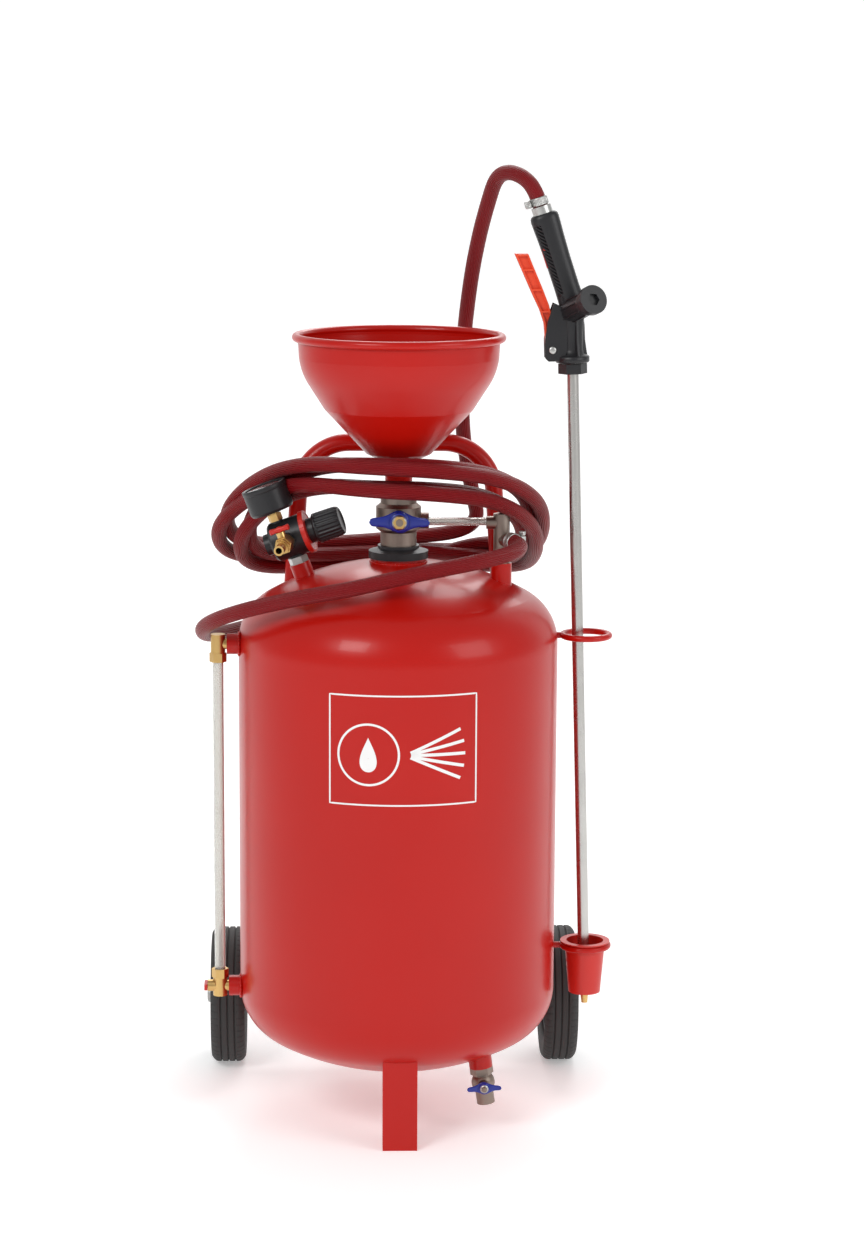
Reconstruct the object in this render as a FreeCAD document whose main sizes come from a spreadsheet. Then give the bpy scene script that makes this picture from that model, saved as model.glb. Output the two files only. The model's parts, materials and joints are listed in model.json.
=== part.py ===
"""Wheeled 50 litre pressure sprayer: tank, filler, air and liquid fittings, hose, gun and lance.

Millimetres, +Z up, +X to the lance side, -Y to the front. The origin is on the floor under the
middle of the machine without its hose. The tank's axis stands at (tank_x, tank_y).
"""
import FreeCAD, Part
import math
import os
import Sketcher

Vector = FreeCAD.Vector
Rotation = FreeCAD.Rotation
Placement = FreeCAD.Placement

SIZES = {
    # where the tank's axis stands, so that the origin is under the middle of the machine
    "tank_x": -11.0, "tank_y": -36.85,
    # pressure vessel: two deep-drawn halves with a joggled lap joint
    "tank_radius": 177.8, "tank_wall": 2.5, "tank_bottom": 54.0, "half_straight": 197.5,
    "knuckle_radius": 60.0, "crown_radius": 300.0, "lap_length": 12.0,
    # filler column on the tank's axis
    "boss_radius": 30.0, "boss_top": 634.0, "filler_bore": 17.0,
    "collar_radius": 33.0, "collar_neck": 23.0, "collar_height": 14.0,
    "valve_end_radius": 20.0, "valve_body_radius": 25.0, "valve_length": 62.0,
    "ball_radius": 18.0, "ball_bore": 12.0, "seat_width": 4.0, "wing_reach": 33.0,
    # funnel
    "rim_radius": 113.0, "rim_bead": 4.5, "funnel_top": 878.0, "funnel_wall": 1.5,
    "spout_radius": 15.0, "spout_wall": 2.5,
    # wheels
    "wheel_radius": 80.0, "tyre_width": 40.0, "rim_disc_radius": 54.0, "wheel_x": 196.0,
    "wheel_y": 171.5, "axle_radius": 10.0, "axle_half": 221.0, "running_gap": 0.05,
    # frame pieces
    "foot_width": 38.0, "foot_depth": 24.0, "foot_y": -146.0, "foot_wall": 3.0,
    "handle_radius": 10.0, "handle_wall": 2.0, "handle_bend": 58.0,
    "wire_radius": 3.5, "ring_radius": 26.0, "ring_x": 209.8, "ring_z": 545.8,
    "cup_x": 213.5, "cup_top": 192.0, "cup_height": 58.5, "cup_wall": 1.5,
    # level gauge on the left side
    "gauge_x": -200.0, "gauge_y": -20.0, "gauge_top": 540.0, "gauge_bottom": 148.0,
    "level_tube_radius": 6.0, "level_tube_bore": 4.5,
    # air regulator
    "regulator_x": -104.0, "regulator_y": 4.0, "regulator_radius": 22.0, "knob_radius": 17.0,
    "dial_radius": 25.0, "dial_depth": 30.0,
    # liquid outlet on the right shoulder
    "outlet_x": 114.0, "outlet_y": -8.0, "outlet_body_radius": 9.0,
    # drain under the tank
    "drain_x": 89.0, "drain_y": -90.0, "drain_tilt": 8.0,
    # gun and lance, in their own frame with its origin at the nozzle's tip
    "tip_x": 214.0, "tip_z": 120.0, "lance_tilt": 1.81, "lance_radius": 6.5, "lance_bore": 4.5,
    "lance_top": 731.0, "gun_body_radius": 14.0, "grip_radius": 13.0, "block_radius": 12.8, "trigger_width": 14.0,
    "pivot_x": -22.4, "pivot_z": 746.0, "pin_radius": 2.5, "rod_radius": 2.0,
    # hose
    "hose_radius": 8.5, "bundle_radius": 25.0,
}


class Dim:
    """A size with its number and the expression on the sheet that gives it."""

    def __init__(self, value, text):
        self.value = value
        self.text = text

    def __add__(self, other):
        other = dim(other)
        return Dim(self.value + other.value, f"({self.text} + {other.text})")

    def __sub__(self, other):
        other = dim(other)
        return Dim(self.value - other.value, f"({self.text} - {other.text})")

    def __mul__(self, other):
        other = dim(other)
        return Dim(self.value * other.value, f"({self.text} * {other.text})")

    def __truediv__(self, other):
        other = dim(other)
        return Dim(self.value / other.value, f"({self.text} / {other.text})")

    def __neg__(self):
        return Dim(-self.value, f"(0 - {self.text})")

    def __radd__(self, other):
        return dim(other) + self

    def __rsub__(self, other):
        return dim(other) - self

    def __rmul__(self, other):
        return dim(other) * self

    def root(self):
        return Dim(math.sqrt(self.value), f"sqrt({self.text})")


def dim(number):
    """Any number as a Dim."""
    if isinstance(number, Dim):
        return number
    return Dim(float(number), f"({float(number)!r})")


class Sheet:
    """The spreadsheet's cells as Dims, read by their alias: S.tank_radius."""


doc = FreeCAD.newDocument("pressure_sprayer")
sheet = doc.addObject("Spreadsheet::Sheet", "Sizes")
S = Sheet()
for row, (alias, number) in enumerate(SIZES.items(), start=1):
    sheet.set(f"A{row}", alias)
    sheet.set(f"B{row}", str(number))
    sheet.setAlias(f"B{row}", alias)
    setattr(S, alias, Dim(number, f"Sizes.{alias}"))
doc.recompute()

NODES = []


# ---------------------------------------------------------------- helpers

def sub_part(node, thing):
    """Name the finished object after its node and keep it for export."""
    thing.Label = node
    NODES.append(thing)
    return thing


def number(value):
    """The plain number of a Dim or a number."""
    return dim(value).value


def point(x, y, z):
    """A vector from Dims or numbers."""
    return Vector(number(x), number(y), number(z))


def frame(x, y, z, rotation=None):
    """A placement measured from the tank's axis on the floor."""
    origin = point(S.tank_x + x, S.tank_y + y, z)
    return Placement(origin, rotation or Rotation())


def facing(direction, across=None):
    """The rotation that turns +Z to a direction, with +X as near as possible to another."""
    axis = Vector(*direction).normalize()
    side = Vector(*(across or (1, 0, 0)))
    return Rotation(side, Vector(), axis, "ZXY")


WORLD = frame(0, 0, 0)
X_AXIS = facing((1, 0, 0), (0, 1, 0))
BACKWARD = facing((0, 1, 0), (1, 0, 0))
FORWARD = facing((0, -1, 0), (1, 0, 0))


def put(thing, base, x=0, y=0, z=0, rotation=None):
    """Place an object at a point of a base frame."""
    thing.Placement = base.multiply(Placement(point(x, y, z), rotation or Rotation()))
    return thing


def bind(thing, **values):
    """Bind each named property to its expression."""
    for name, value in values.items():
        thing.setExpression(name, dim(value).text)
    return thing


def cylinder(radius, height, base, x=0, y=0, z=0, rotation=None):
    rod = doc.addObject("Part::Cylinder", "rod")
    bind(rod, Radius=radius, Height=height)
    return put(rod, base, x, y, z, rotation)


def cone(low, high, height, base, x=0, y=0, z=0, rotation=None):
    taper = doc.addObject("Part::Cone", "taper")
    bind(taper, Radius1=low, Radius2=high, Height=height)
    return put(taper, base, x, y, z, rotation)


def ball(radius, base, x=0, y=0, z=0):
    sphere = doc.addObject("Part::Sphere", "ball")
    bind(sphere, Radius=radius)
    return put(sphere, base, x, y, z)


def ring(radius, wire, base, x=0, y=0, z=0, rotation=None):
    torus = doc.addObject("Part::Torus", "ring")
    bind(torus, Radius1=radius, Radius2=wire)
    return put(torus, base, x, y, z, rotation)


def box(length, width, height, base, x=0, y=0, z=0, rotation=None):
    """A box centred on its point in X and Y, standing on it in Z."""
    block = doc.addObject("Part::Box", "block")
    bind(block, Length=length, Width=width, Height=height)
    turn = rotation or Rotation()
    shift = turn.multVec(point(-dim(length) / 2, -dim(width) / 2, 0))
    return put(block, base, number(x) + shift.x, number(y) + shift.y, number(z) + shift.z, turn)


def hexagon(corner, height, base, x=0, y=0, z=0, rotation=None):
    nut = doc.addObject("Part::Prism", "nut")
    nut.Polygon = 6
    bind(nut, Circumradius=corner, Height=height)
    return put(nut, base, x, y, z, rotation)


def join(*pieces):
    union = doc.addObject("Part::MultiFuse", "union")
    union.Shapes = list(pieces)
    union.Refine = False
    return union


def cut(base, *tools):
    """The base less its tools."""
    for tool in tools:
        pocket = doc.addObject("Part::Cut", "cut")
        pocket.Base = base
        pocket.Tool = tool
        base = pocket
    return base


def outline_sketch(body, plane, outline):
    """A closed sketch on an origin plane, every point and arc radius bound to the sheet.

    Each corner is (across, up) or (across, up, arc radius, turn): the edge that leads to it is
    then an arc, turning left for +1 and right for -1.
    """
    sketch = body.newObject("Sketcher::SketchObject", "outline")
    origin = [item for item in body.Origin.OriginFeatures if item.Role == plane][0]
    sketch.AttachmentSupport = (origin, [""])
    sketch.MapMode = "FlatFace"
    corners = [(dim(c[0]), dim(c[1])) + tuple(c[2:]) for c in outline]
    ends = []
    for index, corner in enumerate(corners):
        before = corners[index - 1]
        start = Vector(before[0].value, before[1].value, 0)
        end = Vector(corner[0].value, corner[1].value, 0)
        if len(corner) == 2:
            edge = sketch.addGeometry(Part.LineSegment(start, end))
            ends.append((edge, 1, 2))
            continue
        radius = dim(corner[2])
        turn = corner[3]
        chord = end - start
        rise = math.sqrt(radius.value ** 2 - (chord.Length / 2) ** 2)
        left = Vector(-chord.y, chord.x, 0).normalize()
        centre = (start + end) * 0.5 + left * rise * turn
        first, last = (start, end) if turn > 0 else (end, start)
        low = math.atan2(first.y - centre.y, first.x - centre.x)
        high = math.atan2(last.y - centre.y, last.x - centre.x)
        circle = Part.Circle(centre, Vector(0, 0, 1), radius.value)
        edge = sketch.addGeometry(Part.ArcOfCircle(circle, low, high))
        ends.append((edge, 1, 2) if turn > 0 else (edge, 2, 1))
        bound = sketch.addConstraint(Sketcher.Constraint("Radius", edge, radius.value))
        sketch.setExpression(f"Constraints[{bound}]", radius.text)
    for index, corner in enumerate(corners):
        edge, _, finish = ends[index]
        following, begin, _ = ends[(index + 1) % len(ends)]
        sketch.addConstraint(Sketcher.Constraint("Coincident", edge, finish, following, begin))
        for axis, kind, size in ((-2, "DistanceX", corner[0]), (-1, "DistanceY", corner[1])):
            if abs(size.value) < 1e-9:
                sketch.addConstraint(Sketcher.Constraint("PointOnObject", edge, finish, axis))
                continue
            held = Sketcher.Constraint(kind, -1, 1, edge, finish, size.value)
            bound = sketch.addConstraint(held)
            sketch.setExpression(f"Constraints[{bound}]", size.text)
    return sketch


def turned(outline, base, x=0, y=0, z=0, rotation=None):
    """A piece turned about its own Z: the outline is (radius, height) corners."""
    body = doc.addObject("PartDesign::Body", "turned")
    sketch = outline_sketch(body, "XZ_Plane", outline)
    spin = body.newObject("PartDesign::Revolution", "spin")
    spin.Profile = sketch
    spin.ReferenceAxis = (sketch, ["V_Axis"])
    spin.Angle = 360.0
    return put(body, base, x, y, z, rotation)


def plate(outline, thickness, base, x=0, y=0, z=0, rotation=None):
    """A flat piece, its outline in local X and Z, half its thickness each way along Y."""
    body = doc.addObject("PartDesign::Body", "plate")
    sketch = outline_sketch(body, "XZ_Plane", outline)
    pad = body.newObject("PartDesign::Pad", "thickness")
    pad.Profile = sketch
    pad.Midplane = True
    bind(pad, Length=thickness)
    return put(body, base, x, y, z, rotation)


def tangent_path(corners, radii=None, closed=False):
    """Straight runs joined by tangent arcs. Returns the wire and the arcs' radii.

    An arc's radius is 0.45 of the shorter run beside it over the tangent of half the turn,
    unless radii gives one for every corner.
    """
    points = [Vector(*corner) for corner in corners]
    count = len(points)
    turning = range(count) if closed else range(1, count - 1)
    arcs = {}
    used = []
    for index in turning:
        before = points[index - 1]
        here = points[index]
        after = points[(index + 1) % count]
        inward = (here - before).normalize()
        outward = (after - here).normalize()
        half = inward.getAngle(outward) / 2
        shorter = min((here - before).Length, (after - here).Length)
        reach = 0.45 * shorter
        if radii:
            reach = radii * math.tan(half)
        start = here - inward * reach
        end = here + outward * reach
        radius = reach / math.tan(half)
        bisector = (outward - inward).normalize()
        centre = here + bisector * (radius / math.cos(half))
        arcs[index] = (start, centre - bisector * radius, end)
        used.append(radius)
    edges = []
    cursor = arcs[count - 1][2] if closed else points[0]
    for index in turning:
        start, middle, end = arcs[index]
        edges.append(Part.LineSegment(cursor, start).toShape())
        edges.append(Part.Arc(start, middle, end).toShape())
        cursor = end
    if not closed:
        edges.append(Part.LineSegment(cursor, points[-1]).toShape())
    return Part.Wire(edges), used


def swept(wire, radius):
    """A round bar of a radius along a wire, one length per run or arc."""
    lengths = []
    for edge in wire.Edges:
        start = edge.valueAt(edge.FirstParameter)
        heading = edge.tangentAt(edge.FirstParameter)
        circle = Part.Wire(Part.Circle(start, heading, radius).toShape())
        lengths.append(Part.Wire([edge]).makePipeShell([circle], True, False))
    return lengths[0].multiFuse(lengths[1:])


def feature(shape, base=WORLD):
    """A shape as an object of the document."""
    holder = doc.addObject("Part::Feature", "shape")
    holder.Shape = shape
    holder.Placement = base
    return holder


# ---------------------------------------------------------------- tank

CROWN_DEPTH = ((S.crown_radius - S.knuckle_radius) * (S.crown_radius - S.knuckle_radius)
               - (S.tank_radius - S.knuckle_radius) * (S.tank_radius - S.knuckle_radius)).root()
HEAD_DEPTH = S.crown_radius - CROWN_DEPTH
BOTTOM_TANGENT = S.tank_bottom + HEAD_DEPTH
SEAM_HEIGHT = BOTTOM_TANGENT + S.half_straight
TOP_TANGENT = SEAM_HEIGHT + S.half_straight
TANK_TOP = TOP_TANGENT + HEAD_DEPTH


def head_points(inset):
    """The head's tangent point and apex, above the seam, for a surface inset from the outside."""
    reach = (S.crown_radius - inset) / (S.crown_radius - S.knuckle_radius)
    across = (S.tank_radius - S.knuckle_radius) * reach
    centre = S.half_straight - CROWN_DEPTH
    return across, centre + CROWN_DEPTH * reach, centre + S.crown_radius - inset


def tank_half(lap, base):
    """One drawn half of the tank, its seam at the base frame. The lap is the joggled lip."""
    across, up, apex = head_points(dim(0))
    across_in, up_in, apex_in = head_points(S.tank_wall)
    inner = S.tank_radius - S.tank_wall
    outline = [
        (S.tank_radius, 0),
        (S.tank_radius, S.half_straight),
        (across, up, S.knuckle_radius, 1),
        (0, apex, S.crown_radius, 1),
        (0, apex_in),
        (across_in, up_in, S.crown_radius - S.tank_wall, -1),
        (inner, S.half_straight, S.knuckle_radius - S.tank_wall, -1),
    ]
    if lap:
        outline += [(inner, 8), (inner - S.tank_wall, 5), (inner - S.tank_wall, -S.lap_length),
                    (inner, -S.lap_length)]
    outline += [(inner, 0)]
    return turned(outline, base)


def head_cap(base):
    """The solid that one half of the tank encloses, for trimming what is welded to it."""
    across, up, apex = head_points(dim(0))
    return turned([(0, 0), (S.tank_radius, 0), (S.tank_radius, S.half_straight),
                   (across, up, S.knuckle_radius, 1), (0, apex, S.crown_radius, 1)], base)


SEAM = frame(0, 0, SEAM_HEIGHT)
SEAM_DOWN = frame(0, 0, SEAM_HEIGHT, Rotation(Vector(1, 0, 0), 180))


def dome_height(x, y):
    """The top head's outer surface above a point near the axis."""
    reach = math.hypot(number(x), number(y))
    return TANK_TOP.value - S.crown_radius.value + math.sqrt(S.crown_radius.value ** 2 - reach ** 2)


def dome_frame(x, y, twist):
    """A frame on the top head, +Z square to it, turned about +Z by a twist in degrees."""
    centre = TANK_TOP.value - S.crown_radius.value
    up = Vector(number(x), number(y), dome_height(x, y) - centre).normalize()
    stand = facing((up.x, up.y, up.z)).multiply(Rotation(Vector(0, 0, 1), twist))
    return frame(x, y, dome_height(x, y), stand)


REGULATOR = dome_frame(S.regulator_x, S.regulator_y, -9)
OUTLET = frame(S.outlet_x, S.outlet_y, 0)
DRAIN = frame(S.drain_x, S.drain_y, 93.6,
              Rotation(Vector(0, 1, 0), -S.drain_tilt.value).multiply(Rotation(Vector(1, 0, 0), 180)))
GAUGE_SIDE = facing((-1, 0, 0), (0, 1, 0))
SOCKET_RADIUS = 11.5
DRAIN_BOSS_RADIUS = 13


def side_socket(height):
    """A horizontal socket in the tank's left side for the level gauge."""
    return (WORLD, -165, S.gauge_y, height, GAUGE_SIDE)


def tank():
    holes_up = [
        cylinder(S.boss_radius, 30, WORLD, 0, 0, 615),
        cylinder(SOCKET_RADIUS, 20, REGULATOR, 0, 0, -10),
        cylinder(SOCKET_RADIUS, 30, OUTLET, 0, 0, 596),
        cylinder(SOCKET_RADIUS, 25, *side_socket(S.gauge_top)),
    ]
    sub_part("tank_upper_shell", cut(tank_half(False, SEAM), *holes_up))
    holes_down = [
        cylinder(DRAIN_BOSS_RADIUS, 30, DRAIN, 0, 0, -4),
        cylinder(SOCKET_RADIUS, 25, *side_socket(S.gauge_bottom)),
    ]
    sub_part("tank_lower_shell", cut(tank_half(True, SEAM_DOWN), *holes_down))
    sub_part("filler_boss", cut(cylinder(S.boss_radius, S.boss_top - 620, WORLD, 0, 0, 620),
                                cylinder(S.filler_bore, 40, WORLD, 0, 0, 610)))
    sockets = [cut(cylinder(SOCKET_RADIUS, 25, *place), cylinder(5, 30, *place))
               for place in (side_socket(S.gauge_top), side_socket(S.gauge_bottom),
                             (REGULATOR, 0, 0, -9), (OUTLET, 0, 0, 604))]
    sockets.append(cut(cylinder(DRAIN_BOSS_RADIUS, 20, DRAIN), cylinder(6, 30, DRAIN, 0, 0, -2)))
    sub_part("thread_sockets", join(*sockets))


def envelope():
    """The whole outside of the tank as one solid, a tool only."""
    return join(head_cap(SEAM), head_cap(SEAM_DOWN))


# ---------------------------------------------------------------- frame pieces

def frame_pieces():
    top = S.foot_wall
    tube = box(S.foot_width, S.foot_depth, 110, WORLD, 0, S.foot_y, top)
    hollow = box(S.foot_width - S.foot_wall * 2, S.foot_depth - S.foot_wall * 2, 120, WORLD, 0,
                 S.foot_y, top - 1)
    sole = box(S.foot_width, S.foot_depth, S.foot_wall, WORLD, 0, S.foot_y, 0)
    sub_part("front_foot", join(cut(tube, hollow, envelope()), sole))

    corners = [(-118, 97, 590), (-108, 110, 749), (108, 110, 749), (118, 97, 590)]
    path, _ = tangent_path(corners, S.handle_bend.value)
    outer = swept(path, S.handle_radius.value)
    inner = swept(path, S.handle_radius.value - S.handle_wall.value)
    sub_part("handle_hoop", cut(feature(outer.cut(inner)), envelope()))

    lugs = [plate([(60, 60), (196, 60), (196, 96), (176, 150), (60, 150)], 6, WORLD, side * 105, 0,
                  0, Rotation(Vector(0, 0, 1), 90)) for side in (-1, 1)]
    hole = cylinder(S.axle_radius, 240, WORLD, -120, S.wheel_y, S.wheel_radius, X_AXIS)
    sub_part("axle_brackets", cut(join(*lugs), hole, envelope()))

    ring_drop = S.cup_top - 4
    for node, across, height in (("lance_ring", S.ring_x, S.ring_z), ("cup_ring", S.cup_x, ring_drop)):
        arm = cylinder(S.wire_radius, across - S.ring_radius - 170, WORLD, 170, 0, height, X_AXIS)
        loop = ring(S.ring_radius, S.wire_radius, WORLD, across, 0, height)
        sub_part(node, cut(join(arm, loop), envelope()))
    reach = S.ring_radius - S.wire_radius
    wall = S.cup_wall
    sub_part("lance_cup", turned([
        (7, 0), (18, 0), (reach, S.cup_height - 6), (reach, S.cup_height),
        (S.ring_radius + 2, S.cup_height), (S.ring_radius + 2, S.cup_height + wall),
        (reach - wall, S.cup_height + wall), (reach - wall, S.cup_height - 6),
        (18 - wall, dim(2.5)), (7, dim(2.5))], WORLD, S.cup_x, 0, S.cup_top - S.cup_height))


# ---------------------------------------------------------------- wheels

def wheels():
    sub_part("axle", cylinder(S.axle_radius, S.axle_half * 2, WORLD, -S.axle_half, S.wheel_y,
                              S.wheel_radius, X_AXIS))
    half = S.tyre_width / 2
    for name, side in (("left", -1), ("right", 1)):
        outward = facing((side, 0, 0), (0, 1, 0))
        centre = (WORLD, S.wheel_x * side, S.wheel_y, S.wheel_radius, outward)
        bead = S.rim_disc_radius
        edge = S.wheel_radius - 7
        sub_part(f"tyre_{name}", turned([
            (bead, -half + 4), (edge, -half), (S.wheel_radius, -half + 7, 12, 1),
            (S.wheel_radius, half - 7), (edge, half, 12, 1), (bead, half - 4)], *centre))
        sub_part(f"wheel_hub_{name}", turned([
            (S.axle_radius + S.running_gap, -half + 1), (19, -half + 1), (19, -7),
            (bead - 7, -5), (bead - 7, -half + 6), (bead, -half + 6), (bead, half - 6),
            (bead - 7, half - 6), (bead - 7, 5), (19, 7), (19, half - 1),
            (S.axle_radius + S.running_gap, half - 1)], *centre))
    washers = [cylinder(17, 2, WORLD, (S.wheel_x + half) * side, S.wheel_y, S.wheel_radius,
                        facing((side, 0, 0), (0, 1, 0))) for side in (-1, 1)]
    bore = cylinder(S.axle_radius, 500, WORLD, -250, S.wheel_y, S.wheel_radius, X_AXIS)
    sub_part("axle_washers", cut(join(*washers), bore))


# ---------------------------------------------------------------- filler column

def filler_column():
    column = frame(0, 0, S.boss_top)
    sub_part("filler_collar", turned([
        (S.filler_bore, 0), (S.collar_radius, 0), (S.collar_radius, 8), (S.collar_neck, 11),
        (S.collar_neck, S.collar_height), (S.filler_bore, S.collar_height)], column))
    base = frame(0, 0, S.boss_top + S.collar_height)
    middle = S.valve_length / 2
    end = S.valve_end_radius
    seat = S.ball_radius - S.seat_width
    body = turned([
        (S.ball_bore, 0), (end, 0), (end, 15), (S.valve_body_radius, 19),
        (S.valve_body_radius, 43), (end, 47), (end, S.valve_length),
        (S.spout_radius, S.valve_length), (S.spout_radius, S.valve_length - 12),
        (S.ball_bore, S.valve_length - 12), (S.ball_bore, middle + seat), (20, middle + seat),
        (20, middle - seat), (S.ball_bore, middle - seat)], base)
    bonnet = cylinder(11, 14, base, 0, -20.5, middle, FORWARD)
    side_port = cylinder(9, 13, base, 20.5, 0, middle - 4, X_AXIS)
    sub_part("fill_valve_body", cut(
        join(body, bonnet, side_port),
        cylinder(4.05, 40, base, 0, 0, middle, FORWARD),
        cylinder(3, 40, base, 0, 0, middle - 4, X_AXIS)))
    sub_part("fill_valve_ball", cut(
        ball(S.ball_radius, base, 0, 0, middle),
        cylinder(S.ball_bore, 50, base, -25, 0, middle, X_AXIS),
        box(36, 7, 6.2, base, 0, -20, middle - 3.1)))
    rings = [cylinder(19.5, S.seat_width, base, 0, 0, start)
             for start in (middle - seat, middle + seat - S.seat_width)]
    sub_part("valve_seats", cut(join(*rings), cylinder(S.ball_bore, 60, base, 0, 0, 0),
                                ball(S.ball_radius + 0.3, base, 0, 0, middle)))
    stem = cylinder(4, 29, base, 0, -19, middle, FORWARD)
    blade = box(5, 3, 5, base, 0, -18.3, middle - 2.5)
    sub_part("fill_valve_stem", join(stem, blade))
    reach = S.wing_reach
    wings = plate([(-reach, -7), (-14, -7), (0, -13), (14, -7), (reach, -4), (reach, 7),
                   (14, 7), (0, 13), (-14, 9), (-reach, 4)], 6, base, 0, -39.5, middle)
    sub_part("fill_valve_handle", cut(wings, cylinder(4, 20, base, 0, -30, middle, FORWARD)))
    sub_part("fill_valve_nut", cut(hexagon(7.5, 4, base, 0, -42.5, middle, FORWARD),
                                   cylinder(4, 20, base, 0, -30, middle, FORWARD)))


# ---------------------------------------------------------------- funnel

def funnel():
    wall = S.funnel_wall
    top = S.funnel_top
    low = dim(745)
    outer = S.spout_radius
    sub_part("funnel", join(turned([
        (outer - S.spout_wall, S.boss_top + 64.5), (outer, S.boss_top + 64.5), (outer, low),
        (26, low), (36, low + 5), (82, low + 54), (98, low + 79), (110, low + 111, 70, 1),
        (S.rim_radius - 2, top - 6), (S.rim_radius - 2, top), (S.rim_radius - 2 - wall, top),
        (S.rim_radius - 2 - wall, top - 6), (110 - wall, low + 111), (98 - wall, low + 79.5, 68.5, -1),
        (82 - wall, low + 55), (36 - wall, low + 6.5), (25, low + wall),
        (outer - S.spout_wall, low + wall)], WORLD),
        ring(S.rim_radius, S.rim_bead, WORLD, 0, 0, top)))


# ---------------------------------------------------------------- level gauge

def level_gauge():
    nuts = []
    for node, height, turn in (("level_elbow", S.gauge_top, 0), ("level_cock", S.gauge_bottom, 180)):
        elbow = frame(S.gauge_x, S.gauge_y, height, Rotation(Vector(1, 0, 0), turn))
        arm = cylinder(6, 10, elbow, 0, 0, 0, X_AXIS)
        body = join(arm, cylinder(8, 21, elbow, 0, 0, -10))
        bores = [cylinder(3, 24, elbow, 0, 0, 0, X_AXIS), cylinder(3, 10, elbow, 0, 0, -10.5)]
        if turn:
            body = join(body, cylinder(6.5, 14, elbow, 0, 0, 0, GAUGE_SIDE))
            bores.append(cylinder(2.05, 20, elbow, 0, 0, 0, GAUGE_SIDE))
        sub_part(node, cut(body, *bores))
        nuts.append(cut(hexagon(9.5, 10, elbow, 0, 0, -20),
                        cylinder(S.level_tube_radius, 12, elbow, 0, 0, -21)))
    sub_part("level_nuts", join(*nuts))
    low = S.gauge_bottom + 10
    height = S.gauge_top - S.gauge_bottom - 20
    sub_part("level_tube", cut(
        cylinder(S.level_tube_radius, height, WORLD, S.gauge_x, S.gauge_y, low),
        cylinder(S.level_tube_bore, height + 2, WORLD, S.gauge_x, S.gauge_y, low - 1)))
    cock = frame(S.gauge_x, S.gauge_y, S.gauge_bottom, GAUGE_SIDE)
    sub_part("level_cock_tap", join(cylinder(2, 9, cock, 0, 0, 6), box(18, 7, 3.5, cock, 0, 0, 14.3)))


# ---------------------------------------------------------------- air regulator

def regulator():
    axis = 46.0
    right = facing((1, 0, 0), (0, 1, 0))
    sub_part("regulator_nipple", cut(hexagon(11, 7.6, REGULATOR, 0, 0, 16),
                                     cylinder(4, 40, REGULATOR, 0, 0, 10)))
    radius = S.regulator_radius
    body = turned([(0, -28), (12, -28), (12, -20), (radius - 2, -20), (radius, -17.5), (radius, 18),
                   (14, 18), (14, 30), (0, 30)], REGULATOR, 0, 0, axis, right)
    port = cylinder(9, 14.4, REGULATOR, 0, 0, 23.6)
    top_port = cylinder(7, 11, REGULATOR, -8, 0, axis + 12)
    front_port = cylinder(9.4, 12, REGULATOR, 0, -15, axis, FORWARD)
    inside = cylinder(4.05, 30, REGULATOR, 4, 0, axis, right)
    sub_part("regulator_body", cut(join(body, port, top_port, front_port), inside))
    sub_part("regulator_ring", cut(cylinder(radius + 2, 5, REGULATOR, 18, 0, axis, right),
                                   cylinder(14, 9, REGULATOR, 16, 0, axis, right)))
    spindle = cylinder(4, 26, REGULATOR, 7, 0, axis, right)
    grip = turned([(0, 0), (S.knob_radius, 0), (S.knob_radius, 29), (S.knob_radius - 2, 31),
                   (0, 31)], REGULATOR, 30.3, 0, axis, right)
    sub_part("regulator_knob", join(spindle, grip))

    stand = (REGULATOR, -8, 0)
    stem = join(hexagon(8, 8, *stand, axis + 23), cylinder(5, 3, *stand, axis + 31))
    sub_part("gauge_stem", stem)
    depth = S.dial_depth
    outer = S.dial_radius
    low = axis + 34
    sub_part("gauge_case", turned([
        (0, 0), (outer - 2, 0), (outer, 3), (outer, depth), (outer - 1.5, depth),
        (outer - 1.5, 6), (0, 6)], *stand, low))
    sub_part("gauge_dial", cut(cylinder(outer - 1.5, 1, *stand, low + 6),
                               cylinder(1.05, 4, *stand, low + 5)))
    needle = join(cylinder(1, 2.45, *stand, low + 6.05), cylinder(3, 1.2, *stand, low + 8.5),
                  plate([(-6, -1.5), (17, -0.4), (17, 0.4), (-6, 1.5)], 1, REGULATOR, -8, 0, low + 9,
                        Rotation(Vector(1, 0, 0), -90)))
    sub_part("gauge_needle", needle)
    sub_part("gauge_lens", cylinder(outer - 1.5, 2, *stand, number(low + depth) - 3))

    valve_length = 24
    start = -27
    body = join(hexagon(9.8, valve_length, REGULATOR, 0, start, axis, FORWARD),
                cylinder(5, 14, REGULATOR, 0, start - 12, axis))
    sub_part("air_valve_body", cut(body, cylinder(4, valve_length + 2, REGULATOR, 0, start + 1, axis,
                                                  FORWARD),
                                   cylinder(2.05, 30, REGULATOR, 0, start - 12, axis)))
    tee = box(22, 9, 5, REGULATOR, 0, start - 12, axis + 14.3)
    sub_part("air_valve_lever", join(cylinder(2, 12, REGULATOR, 0, start - 12, axis + 5), tee))
    tip = start - valve_length
    plug = join(hexagon(8.5, 7, REGULATOR, 0, tip, axis, FORWARD),
                cylinder(5.5, 28, REGULATOR, 0, tip, axis, FORWARD),
                cylinder(6.8, 4, REGULATOR, 0, tip - 6, axis, FORWARD))
    sub_part("air_plug", cut(plug, cylinder(3.5, 40, REGULATOR, 0, tip + 1, axis, FORWARD)))


# ---------------------------------------------------------------- liquid outlet

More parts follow.
